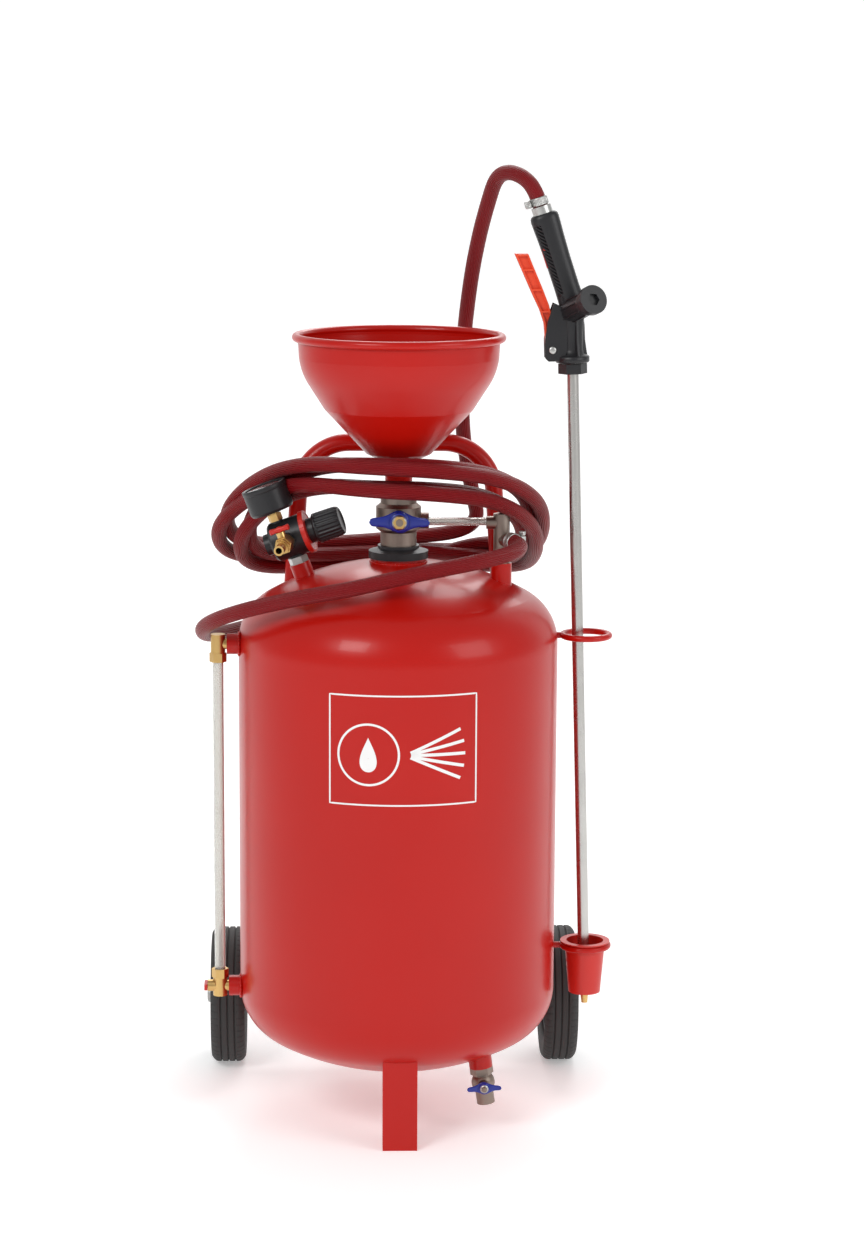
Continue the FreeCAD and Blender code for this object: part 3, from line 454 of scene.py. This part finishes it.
@dataclass
class Tank:
    """Weld beads and the white panel on the front."""

    radius: float = 177.8

    def build(self) -> None:
        """Make the beads and the panel."""
        for name, place, bead_radius in self.beads():
            piece(name, self.bead(bead_radius), "tank_paint", ROOT, place)
        self.panel()

    def beads(self) -> list[tuple[str, Matrix, float]]:
        """Each weld bead's name, frame and ring radius in mm."""
        up, right = Vector((0, 0, 1)), Vector((1, 0, 0))
        found = [("filler_weld", frame_matrix(at(0, 0, 629.5), up, right), 30.2)]
        for name, height in (("level_weld_top", 540), ("level_weld_bottom", 148)):
            found.append((name, frame_matrix(at(-176.6, -20, height), -right, up), 11.8))
        return found

    @staticmethod
    def bead(radius: float) -> bpy.types.Mesh:
        """A rippled weld bead: a torus whose section swells and shrinks with each puddle."""
        around = full_turn(240)[:, None]
        section = full_turn(12)[None, :]
        size = 2.0 + 0.22 * np.sin(around * round(radius * 1.6))
        reach = radius + size * np.cos(section)
        grid = np.stack([reach * np.cos(around), reach * np.sin(around),
                         size * 0.8 * np.sin(section) + 0 * around], -1) * MM
        return grid_mesh(grid, wrap_u=True)

    def wrap(self, outline: np.ndarray) -> np.ndarray:
        """Lay flat points (across, height) in mm on the tank's front."""
        angle = outline[..., 0] / self.radius
        reach = self.radius + 0.12
        return np.stack([AXIS.x + reach * np.sin(angle) * MM, AXIS.y - reach * np.cos(angle) * MM,
                         outline[..., 1] * MM], -1)

    def ribbon(self, name: str, centre: np.ndarray, width: float, closed: bool = True) -> None:
        """A printed line of a width along points on the tank's front."""
        ahead = np.roll(centre, -1, axis=0) - np.roll(centre, 1, axis=0)
        if not closed:
            ahead = np.gradient(centre, axis=0)
        side = np.stack([-ahead[:, 1], ahead[:, 0]], -1)
        side /= np.linalg.norm(side, axis=1, keepdims=True)
        grid = np.stack([centre - side * width / 2, centre + side * width / 2], 1)
        piece(name, grid_mesh(self.wrap(grid), wrap_u=closed, wrap_v=False), "white_ink", ROOT)

    def panel(self) -> None:
        """A framed panel with a plain spray picture: a droplet and fan of rays."""
        def along(a: tuple, b: tuple, count: int) -> np.ndarray:
            return np.linspace(a, b, count, endpoint=False)
        left, right, low, high = -79.0, 83.0, 393.0, 512.0
        frame_line = np.vstack([along((left, low), (right, low), 60),
                                along((right, low), (right, high), 30),
                                along((right, high), (left, high), 60),
                                along((left, high), (left, low), 30)])
        self.ribbon("panel_frame", frame_line, 1.8)
        turn = full_turn(120)
        round_line = np.stack([-36 + 33 * np.cos(turn), 448 + 33 * np.sin(turn)], -1)
        self.ribbon("panel_circle", round_line, 2.4)
        share = full_turn(90)
        width = 13 * np.sin(share) * np.sin(share / 2) ** 1.4
        drop = np.stack([-36 + width, 448 + 19 * np.cos(share)], -1)
        ranks = np.linspace(0.02, 1, 8)[:, None, None]
        middle = np.array([-36, 444.0])
        piece("panel_drop", grid_mesh(self.wrap(middle + (drop - middle) * ranks)),
              "white_ink", ROOT)
        for index, slope in enumerate((-24, -12, 0, 12, 24)):
            lean = math.radians(slope)
            way = np.array([math.cos(lean), math.sin(lean)])
            start = np.array([4, 448]) + way * 6
            end = np.array([4, 448]) + way * 66
            self.ribbon(f"panel_ray_{index}", np.linspace(start, end, 40), 3.4, closed=False)


# ---------------------------------------------------------------- shape helpers

def extruded(outline: list[tuple[float, float]], depth: float, middle: float = 0.0,
             ) -> bpy.types.Mesh:
    """A flat piece with its outline in X and Z, its depth along Y, in mm."""
    corners = np.array(outline, float)
    rows = [np.column_stack([corners[:, 0], np.full(len(corners), middle + side * depth / 2),
                             corners[:, 1]]) for side in (-1, 1)]
    return outward(grid_mesh(np.array(rows) * MM, cap=True))


def lofted(stations: list[tuple], power: float = 2.0, sides: int = 48) -> bpy.types.Mesh:
    """A closed loft of superellipses along Z.

    Args:
        stations: Rows of (height, half width in X, half width in Y, X offset, Y offset) in mm.
        power: 2 gives ellipses, more gives squarer sections.
        sides: Points round each section.

    Returns:
        The mesh.
    """
    rows = np.array(stations, float)
    turn = full_turn(sides)
    cos, sin = np.cos(turn), np.sin(turn)
    round_x = np.sign(cos) * np.abs(cos) ** (2 / power)
    round_y = np.sign(sin) * np.abs(sin) ** (2 / power)
    grid = np.stack([rows[:, 1:2] * round_x + rows[:, 3:4], rows[:, 2:3] * round_y + rows[:, 4:5],
                     np.repeat(rows[:, 0:1], sides, axis=1)], -1) * MM
    return grid_mesh(grid, cap=True)


def fluted(outline: list[tuple[float, float]], count: int, depth: float,
           low: float, high: float, segments: int = 288) -> bpy.types.Mesh:
    """A turned piece with flutes of a depth between two heights, all in mm."""
    profile = np.array(outline, float)
    turn = full_turn(segments)
    wave = np.clip(np.sin(turn * count) * 1.6, -1, 1) * 0.5 - 0.5
    inside = ((profile[:, 1] >= low) & (profile[:, 1] <= high) & (profile[:, 0] > depth * 4))
    reach = profile[:, 0:1] + inside[:, None] * depth * wave[None, :]
    return grid_mesh(revolved(reach, profile[:, 1], turn) * MM)


def spun(angle: float, axis: str) -> Matrix:
    """A rotation in degrees about a named axis."""
    return Matrix.Rotation(math.radians(angle), 4, axis)


def moved(x: float, y: float, z: float) -> Matrix:
    """A shift in mm."""
    return Matrix.Translation(Vector((x, y, z)) * MM)


GUN = Matrix.Translation(at(214, 0, 120)) @ spun(-1.81, "Y")
GRIP = GUN @ frame_matrix(Vector((0.6, 0, 796)) * MM, Vector((-0.289, 0, 0.957)), Vector((1, 0, 0)))
DOME_CENTRE = 631.0 - 300.0
REGULATOR_FOOT = Vector((-104.0, 4.0, DOME_CENTRE + math.sqrt(300.0 ** 2 - 104.0 ** 2 - 4.0 ** 2)))
REGULATOR = frame_matrix(at(*REGULATOR_FOOT), REGULATOR_FOOT - Vector((0, 0, DOME_CENTRE)),
                         Vector((1, 0, 0))) @ spun(-9, "Z")


# ---------------------------------------------------------------- gun

@dataclass
class Gun:
    """Grip, valve block, outlet, ears and trigger of the spray gun."""

    ribs: int = 17
    mean_radius: float = 14.0
    slot_angle: float = -135.0
    slot_half: float = 5.2
    slot_low: float = 14.0
    slot_high: float = 92.0
    wall: float = 0.7
    groove_pitch: float = 3.4

    def build(self) -> None:
        """Make the gun's pieces."""
        grip = piece("gun_grip", self.grip(), "black_plastic", ROOT, GRIP)
        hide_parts("gun_body")
        self.block()
        self.stub()
        self.cheeks()
        self.trigger()

    @staticmethod
    def block() -> None:
        """The angled valve block behind the cap."""
        way = Vector((20, -45, 15)).normalized()
        place = GUN @ frame_matrix(Vector((-3, 0, 786)) * MM, way, Vector((1, 0, 0)))
        piece("gun_block", lathe([
            (0, -15), (9, -15), (12.4, -12), (12.8, -8), (12.8, 40), (13.8, 43), (14.4, 46),
            (14.4, 50), (13.2, 51.7), (0, 51.7)]), "black_plastic", ROOT, place)
        profile = [(12.2, -4), (13.9, -2), (13.9, 38), (12.2, 42)]
        for turn in range(0, 360, 45):
            fin = piece(f"gun_block_fin_{turn}", extruded(profile, 1.6), "black_plastic", ROOT,
                        place @ spun(turn, "Z"))
            rounded(fin, 0.4)

    @staticmethod
    def stub() -> None:
        """The outlet with its waist, four webs and flange."""
        piece("gun_stub", lathe([
            (0, 731.2), (17.6, 731.2), (18.7, 732.4), (18.7, 737.6), (17.6, 738.8), (12.6, 740.5),
            (11.8, 746), (12.4, 765), (13.8, 780), (12, 792), (0, 794)]),
            "black_plastic", ROOT, GUN)
        edge = [(10, 738), (17.8, 738), (16.8, 744), (15.2, 756), (15, 772), (13, 786), (10, 788)]
        for turn in (20, 110, 200, 290):
            web = piece(f"gun_web_{turn}", extruded(edge, 3.2), "black_plastic", ROOT,
                        GUN @ spun(turn, "Z"))
            rounded(web, 0.9, 3)

    @staticmethod
    def cheeks() -> None:
        """The two ears that hold the trigger's pin, and the pin's heads."""
        outline = [(-30.5, 737), (-27, 733.5), (-10, 733.5), (-6, 745), (-6, 790), (-20, 797),
                   (-27, 778), (-30.5, 758)]
        pin_head = [(0, 0), (4.2, 0), (4.2, 0.5), (3.4, 1.3), (1.2, 1.5), (0, 1.5)]
        for side in (-1, 1):
            ear = piece(f"gun_ear_{side + 1}", extruded(outline, 3.4, side * 9.4), "black_plastic",
                        ROOT, GUN)
            rounded(ear, 0.9, 3)
            face = Matrix.Translation(Vector((-22.4, side * 11.0, 746)) * MM)
            piece(f"pin_head_{side + 1}", lathe(pin_head), "zinc", ROOT,
                  GUN @ (face @ spun(-90 * side, "X")))

    def grip(self) -> bpy.types.Mesh:
        """The handle: a flared oval with a ribbed slot at its front left and grooves below it."""
        height = np.concatenate([[-10, -9.5, -8], np.linspace(-6, 97, 260),
                                 [98.5, 100, 101.5, 102.6, 103]])
        ends = np.array([-10, -8, 0, 20, 50, 75, 90, 97, 100, 102, 103.0])
        wide = np.interp(height, ends,
                         [11, 13.6, 14.2, 13.8, 14, 14.8, 15.6, 15.8, 15.3, 14, 12.4])
        deep = np.interp(height, ends,
                         [10, 12.4, 12.8, 12.6, 12.8, 13.2, 13.7, 13.8, 13.4, 12.4, 11.6])
        turn = np.linspace(-math.pi, math.pi, 200, endpoint=False)
        cos, sin = np.cos(turn), np.sin(turn)
        x_share = np.sign(cos) * np.abs(cos) ** 0.84
        y_share = np.sign(sin) * np.abs(sin) ** 0.84
        arc = (turn - math.radians(self.slot_angle)) * self.mean_radius
        level = height[:, None]
        across = np.clip((self.slot_half - np.abs(arc)) / self.wall, 0, 1)[None, :]
        slot = (across * np.clip((level - self.slot_low) / self.wall, 0, 1)
                * np.clip((self.slot_high - level) / self.wall, 0, 1))
        pitch = (self.slot_high - self.slot_low) / self.ribs
        rib = np.clip(np.sin(2 * math.pi * (level + 0.75 * arc[None, :]) / pitch) * 2.2, -1, 1)
        depth = slot * (2.0 - 1.5 * rib)
        lines = np.clip(np.cos(2 * math.pi * arc / self.groove_pitch) * 2, 0, 1)[None, :]
        grooved = np.clip((11.5 - level) / 0.8, 0, 1) * np.clip(level + 6, 0, 1)
        depth = depth + 0.9 * across * lines * grooved
        scale = 1 - depth / self.mean_radius
        grid = np.stack([wide[:, None] * x_share * scale, deep[:, None] * y_share * scale,
                         np.repeat(level, len(turn), axis=1)], -1) * MM
        return grid_mesh(grid, cap=True)

    @staticmethod
    def trigger() -> None:
        """The lever: a web between two broad rims, with cross ribs."""
        front = [(-29, 740), (-29.6, 752), (-31, 775), (-35.5, 790), (-43, 807), (-52, 829),
                 (-61.5, 852)]
        back = [(-46.5, 851.5), (-39, 832), (-31.5, 813), (-25, 795), (-20.5, 775), (-17, 752),
                (-16.5, 741)]
        body = "trigger_lever"
        web = piece("trigger_web", extruded(front + back, 5.0), "trigger_plastic", body,
                    GUN)
        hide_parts("trigger")
        rounded(web, 0.6)
        for name, line, inward in (("front", front, 2.4), ("back", back[::-1], -2.2)):
            edge = np.array(line, float)
            shifted = edge + np.array([inward, 0.0])
            band = [tuple(p) for p in edge] + [tuple(p) for p in shifted[::-1]]
            rim = piece(f"trigger_rim_{name}", extruded(band, 14.0), "trigger_plastic", body, GUN)
            rounded(rim, 0.7, 3)
        bars = ((760, -28.5, -19), (788, -33, -24), (812, -43, -33), (834, -52, -41), (850, -60, -47))
        for index, (height, left, right) in enumerate(bars):
            corners = [(left, height - 1), (right, height - 1), (right, height + 1),
                       (left, height + 1)]
            bar = piece(f"trigger_bar_{index}", extruded(corners, 13.2), "trigger_plastic", body, GUN)
            rounded(bar, 0.3)


# ---------------------------------------------------------------- valves and regulator

@dataclass
class Fittings:
    """Butterfly handles, the regulator's knob and the gauge's face."""

    def build(self) -> None:
        """Make the fittings' pieces."""
        forward = Vector((0, -1, 0))
        self.butterfly("filler_wings", at(0, -39.5, 679), forward, Vector((1, 0, 0.07)), 33.0,
                       "fill_valve", "fill_valve_handle")
        low, _ = node_box("drain_valve_handle")
        lean = Vector((math.cos(math.radians(8)), 0, math.sin(math.radians(8))))
        middle = node_centre("drain_valve_handle")
        self.butterfly("drain_wings", Vector((middle.x, low.y + 2.5 * MM, middle.z)), forward, lean,
                       19.0, "drain_handle", "drain_valve_handle")
        self.knob()
        self.gauge()
        self.air_lever()

    @staticmethod
    def butterfly(name: str, centre: Vector, out: Vector, across: Vector, reach: float, body: str,
                  node: str) -> None:
        """A dished hub with two wings whose ends curl forward."""
        size = reach / 33.0
        place = frame_matrix(centre, out, across)
        share = np.linspace(-1, 1, 41)
        half = (5.0 + 7.5 * np.exp(-(share * 2.6) ** 2)) * size
        half *= np.sqrt(np.clip(1.02 - np.abs(share) ** 14, 0, 1))
        thick = (1.6 + 0.9 * np.exp(-(share * 3) ** 2)) * size
        turn = full_turn(28)
        rise = -share * 2.6 * size
        curl = 5.5 * size * share ** 2 - 0.6
        section = np.sign(np.cos(turn)) * np.abs(np.cos(turn)) ** 0.6
        grid = np.stack([np.repeat((share * reach)[:, None], 28, axis=1),
                         rise[:, None] + half[:, None] * section,
                         curl[:, None] + thick[:, None] * np.sin(turn)], -1) * MM
        wings = piece(name, grid_mesh(grid, cap=True), "blue_handle", body, place)
        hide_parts(node)
        piece(f"{name}_hub", lathe([
            (3.0 * size, 5.2 * size), (9.6 * size, 5.0 * size), (10.8 * size, 4.0 * size),
            (11.2 * size, 0), (11.2 * size, -2.6), (3.0 * size, -2.6)]), "blue_handle", body, place)
        piece(f"{name}_washer", lathe([
            (3 * size, 5.1 * size), (8.2 * size, 5.1 * size), (8.2 * size, 6.0 * size),
            (3 * size, 6.2 * size)]), "zinc", body, place)
        if body == "drain_handle":
            piece(f"{name}_stem", lathe([(0, -15.8), (3, -15.8), (3, 5), (2.4, 6), (0, 6)]),
                  "nickel", body, place)

    @staticmethod
    def knob() -> None:
        """The ribbed pressure knob with its spindle, and the red panel ring behind it."""
        sideways = frame_matrix(Vector(), Vector((1, 0, 0)), Vector((0, 1, 0)))
        place = REGULATOR @ moved(0, 0, 46) @ sideways
        profile = [(0, 30.4), (15.4, 30.4), (17, 31.6), (17, 34), (16.9, 34.2), (16.9, 36),
                   (16.8, 54), (16.4, 58), (15.6, 60.4), (14.6, 61.2), (12.5, 61.3), (12.2, 60.5),
                   (0, 60.5)]
        knob = piece("knob_grip", fluted(profile, 22, 1.1, 34.2, 60.4), "black_plastic",
                     "pressure_knob", place)
        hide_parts("regulator_knob")
        piece("knob_spindle", lathe([(0, 7), (4, 7), (4, 30.6), (0, 30.6)]),
              "zinc", "pressure_knob", place)
        ring = [(21.8, 17.6), (23.6, 17.6), (24, 18.2), (24, 22.6), (23.4, 23.2), (20.5, 23.2),
                (20.5, 22.2), (21.8, 22)]
        piece("panel_ring", fluted(ring, 30, 0.5, 17, 24), "red_plastic", ROOT, place)

    @staticmethod
    def gauge() -> None:
        """Bezel, scale marks, numbers and a domed lens."""
        place = REGULATOR @ moved(-8, 0, 80)
        piece("gauge_bezel", lathe([
            (22.6, 29.4), (23.4, 30.4), (25, 30.6), (25.5, 29.8), (25.5, 25), (25.0, 24.6),
            (23.6, 24.6), (23.4, 29)]), "black_plastic", ROOT, place)
        dome = [(float(r), 28.6 + 1.4 * (1 - (r / 23.3) ** 2)) for r in np.linspace(23.3, 0, 14)]
        lens = piece("gauge_glass", lathe(dome + [(0, 27.0), (23.3, 27.0)]), "lens", ROOT, place)
        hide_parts("gauge_lens")
        for index in range(41):
            angle = 225 - index * 270 / 40
            major = index % 4 == 0
            inner = 17.0 if major else 18.8
            mark = piece(f"tick_{index}", extruded([
                (inner, 7.05), (21.5, 7.05), (21.5, 7.2), (inner, 7.2)], 0.7 if major else 0.35),
                "black_plastic", ROOT, place @ spun(angle, "Z"))
            rounded(mark, 0.02, 1)
            if major:
                Fittings.numeral(str(index // 4), place, angle)

    @staticmethod
    def numeral(text: str, place: Matrix, angle: float) -> None:
        """One number on the dial."""
        curve = bpy.data.curves.new(f"number_{text}", "FONT")
        curve.body = text
        curve.size = 4.2 * MM
        curve.align_x = "CENTER"
        curve.align_y = "CENTER"
        curve.extrude = 0.05 * MM
        holder = bpy.data.objects.new("letters", curve)
        mesh = bpy.data.meshes.new_from_object(holder)
        bpy.data.objects.remove(holder)
        lean = math.radians(angle)
        mesh.transform(moved(13.6 * math.cos(lean), 13.6 * math.sin(lean), 7.1))
        piece(f"number_{text}", mesh, "black_plastic", ROOT, place)

    @staticmethod
    def air_lever() -> None:
        """The small red tee on the air valve, waisted in the middle."""
        place = REGULATOR @ moved(0, -39, 46)
        tee = piece("air_tee", lofted([
            (-11, 2.6, 3.6, 0, 0), (-10.4, 3.2, 4.4, 0, 0), (-4, 2.6, 4.0, 0, 0),
            (0, 3.6, 4.4, 0, 0), (4, 2.6, 4.0, 0, 0), (10.4, 3.2, 4.4, 0, 0),
            (11, 2.6, 3.6, 0, 0)], 3.2, 32), "red_plastic", "air_lever",
            place @ moved(0, 0, 16.8) @ spun(90, "Y"))
        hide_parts("air_valve_lever")
        piece("air_tee_stem", lathe([(0, 5.2), (2, 5.2), (2, 12.2), (3.2, 13), (3.2, 15),
                                                     (0, 15)]), "red_plastic", "air_lever", place)


# ---------------------------------------------------------------- wheels

@dataclass
class Wheels:
    """Tyres with grooves and cross cuts, and spoked hubs."""

    radius: float = 80.0
    spokes: int = 5

    def build(self) -> None:
        """Make both wheels."""
        for name, side in (("left", -1), ("right", 1)):
            place = frame_matrix(at(side * 196, 171.5, 80), Vector((side, 0, 0)), Vector((0, 1, 0)))
            body = f"wheel_{name}"
            tyre = piece(f"tread_{name}", self.tread(), "tyre", body, place)
            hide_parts(f"tyre_{name}")
            for index in range(self.spokes):
                for face in (-1, 1):
                    profile = [(17, 6 * face), (17, 14 * face), (30, 12.5 * face),
                               (48, 13.5 * face), (48, 4 * face)]
                    spoke = piece(f"spoke_{name}_{index}_{face + 1}", extruded(profile, 5.0), "hub",
                                  body, place @ spun(index * 360 / self.spokes, "Z"))
                    rounded(spoke, 0.9, 3)
            piece(f"hub_cap_{name}", lathe([
                (0, 26.2), (7, 26), (9.2, 25), (9.8, 23.4), (9.8, 22.1), (0, 22.1)]),
                "zinc", ROOT, place)

    def tread(self) -> bpy.types.Mesh:
        """A solid rubber tyre: rounded shoulders, three grooves and fine cross cuts."""
        across = np.concatenate([np.linspace(-20, -13, 8), np.linspace(-12.6, 12.6, 64),
                                 np.linspace(13, 20, 8)])
        shoulder = np.clip((np.abs(across) - 11) / 9, 0, 1)
        reach = self.radius - 0.1 - 6.5 * shoulder ** 2.4
        for groove in (-8.0, 0.0, 8.0):
            reach -= 1.9 * np.exp(-((across - groove) / 0.85) ** 4)
        turn = full_turn(480)
        cuts = (np.sin(turn * 60) > 0.72).astype(float)
        wide = ((np.abs(across) > 10.4) & (np.abs(across) < 18.5)).astype(float)
        rows = reach[:, None] - 0.9 * wide[:, None] * cuts[None, :]
        walls = np.array([(73.0, 20.0), (66.0, 19.4), (58.0, 17.6), (54.4, 16.2), (54.0, 15.0)])
        near, far = (revolved(walls[:, 0:1], walls[:, 1] * side, turn) for side in (-1, 1))
        grid = np.concatenate([near[::-1], revolved(rows, across, turn), far]) * MM
        return grid_mesh(grid, wrap_u=True)


# ---------------------------------------------------------------- clamps

@dataclass
class Clamps:
    """Worm-drive bands with their notches, housing and screw."""

    inner: float = 8.6

    def build(self) -> list[bpy.types.Object]:
        """Make both clamps and return their pieces."""
        start, ahead = Vector((121, -17, 655)), Vector((12, -19, -1)).normalized()
        pieces = self.clamp("outlet", frame_matrix(at(*(start + ahead * 3)), ahead,
                                                   Vector((0, 0, -1))))
        end = Vector((153.7, 0, 1021.4))
        ahead = (Vector((147.6, 0, 1039.4)) - end).normalized()
        return pieces + self.clamp("gun", frame_matrix(at(*(end + ahead * 0.7)), ahead,
                                                       Vector((0, 1, 0))))

    def clamp(self, name: str, place: Matrix) -> list[bpy.types.Object]:
        """One clamp: notched band, housing and hex screw."""
        turn = full_turn(320)
        height = np.array([0, 0, 1.6, 1.8, 4.5, 7.2, 7.4, 9, 9, 0.0])
        reach = self.inner + np.array([0.1, 1.2, 1.3, 1.3, 1.3, 1.3, 1.3, 1.2, 0.1, 0.1])
        notch = np.array([0, 0, 0, 1, 1, 1, 0, 0, 0, 0.0])
        wave = (np.sin(turn * 36) > 0.1) * 0.45
        rows = reach[:, None] - notch[:, None] * wave[None, :]
        band = piece(f"clamp_band_{name}", grid_mesh(revolved(rows, height, turn) * MM), "zinc",
                     ROOT, place)
        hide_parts(f"hose_clamp_{name}")
        housing = piece(f"clamp_box_{name}", extruded([
            (-6, 0.4), (6, 0.4), (6, 8.6), (-6, 8.6)], 7.0, self.inner + 4.2), "zinc", ROOT, place)
        rounded(housing, 1.6, 4)
        axis = place @ moved(-11, self.inner + 4.6, 4.5) @ spun(90, "Y")
        screw = piece(f"clamp_screw_{name}", fluted([
            (0, 0.8), (1, 0.8), (1.1, 0), (3.4, 0), (3.8, 0.5), (3.8, 4), (2.6, 4.4), (2.6, 6),
            (0, 6)], 6, 0.35, 0.4, 4.2, 96), "zinc", ROOT, axis)
        return [band, housing, screw]


# ---------------------------------------------------------------- studio

@dataclass(frozen=True)
class Studio:
    """Floor, lights and the camera."""

    lens: float = 89.6
    pitch: float = 10.1
    yaw: float = 2.0
    roll: float = 0.3

    def build(self) -> None:
        """Make the stage."""
        turn = np.linspace(0, math.pi / 2, 24)
        depth = np.concatenate([[-7.0], 2.2 + 1.8 * np.sin(turn), [4.0]])
        rise = np.concatenate([[0.0], 1.8 - 1.8 * np.cos(turn), [7.0]])
        rows = [np.column_stack([np.full(len(depth), side), depth, rise]) for side in (-7.0, 7.0)]
        floor = grid_mesh(np.array(rows), wrap_v=False)
        floor.name = "floor"
        floor.materials.append(PAINT.get("floor"))
        stage = bpy.data.objects.new("floor", floor)
        bpy.context.scene.collection.objects.link(stage)
        bpy.context.scene.view_settings.view_transform = "Standard"
        world = bpy.context.scene.world or bpy.data.worlds.new("world")
        bpy.context.scene.world = world
        world.use_nodes = True
        sky = world.node_tree.nodes["Background"]
        sky.inputs["Color"].default_value = (1, 1, 1, 1)
        tree = world.node_tree
        path = tree.nodes.new("ShaderNodeLightPath")
        level = tree.nodes.new("ShaderNodeMapRange")
        level.inputs["To Min"].default_value = 0.5
        level.inputs["To Max"].default_value = 1.0
        tree.links.new(path.outputs["Is Camera Ray"], level.inputs["Value"])
        tree.links.new(level.outputs["Result"], sky.inputs["Strength"])
        self.lamp("key", (-1.6, -2.2, 2.3), 1.1, 34)
        self.lamp("fill", (2.2, -1.6, 1.6), 1.4, 20)
        self.lamp("rim", (0.4, 2.2, 2.4), 1.6, 30)
        self.camera()

    @staticmethod
    def lamp(name: str, place: tuple, size: float, power: float) -> None:
        """An area light that faces the tank."""
        light = bpy.data.lights.new(name, "AREA")
        light.size = size
        light.energy = power
        lamp = bpy.data.objects.new(name, light)
        bpy.context.scene.collection.objects.link(lamp)
        away = Vector(place) - Vector((0, 0, 0.5))
        turn = away.to_track_quat("Z", "Y").to_matrix().to_4x4()
        lamp.matrix_world = Matrix.Translation(place) @ turn

    def camera(self) -> None:
        """A long lens in front of the tank, a little above the gun, pitched down."""
        view = bpy.data.cameras.new("camera")
        view.lens = self.lens
        view.sensor_width = 36
        eye = bpy.data.objects.new("camera", view)
        bpy.context.scene.collection.objects.link(eye)
        turn = (Matrix.Rotation(math.radians(-self.yaw), 4, "Z")
                @ Matrix.Rotation(math.radians(90 - self.pitch), 4, "X")
                @ Matrix.Rotation(math.radians(self.roll), 4, "Z"))
        eye.matrix_world = Matrix.Translation(at(-81, -3399, 1166)) @ turn
        bpy.context.scene.camera = eye


# ---------------------------------------------------------------- frame nodes

EDGES = {"front_foot": 2.5, "axle_brackets": 0.8, "lance_nut": 0.8, "gun_cap": 0.7, "nozzle": 0.4,
         "regulator_nipple": 0.6, "gauge_stem": 0.4, "air_valve_body": 0.5, "air_plug": 0.4,
         "outlet_fitting": 0.5, "level_nuts": 0.5, "drain_valve_body": 0.6, "fill_valve_body": 0.6,
         "filler_collar": 0.6, "lance_cup": 0.3, "level_cock_tap": 0.6, "trigger_lock": 0.6,
         "regulator_body": 0.8, "fill_valve_nut": 0.6}


def paint_nodes() -> None:
    """Give every CAD node its finish, and the nodes listed in EDGES rounded edges."""
    slots = {part["node"]: part["material_slot"] for part in frame["record"]["subparts"]}
    for name, thing in frame["nodes"].items():
        finish = "trigger_plastic" if name == "trigger" else slots[name]
        thing.data.materials.clear()
        thing.data.materials.append(PAINT.get(finish))
    for name, width in EDGES.items():
        rounded(frame["nodes"][name], width)


def main() -> None:
    """Build everything."""
    logging.basicConfig(level=logging.INFO)
    Studio().build()
    Hose().build(Clamps().build())
    paint_nodes()
    for maker in (Tank(), Gun(), Fittings(), Wheels()):
        maker.build()


if __name__ == "__main__":
    main()
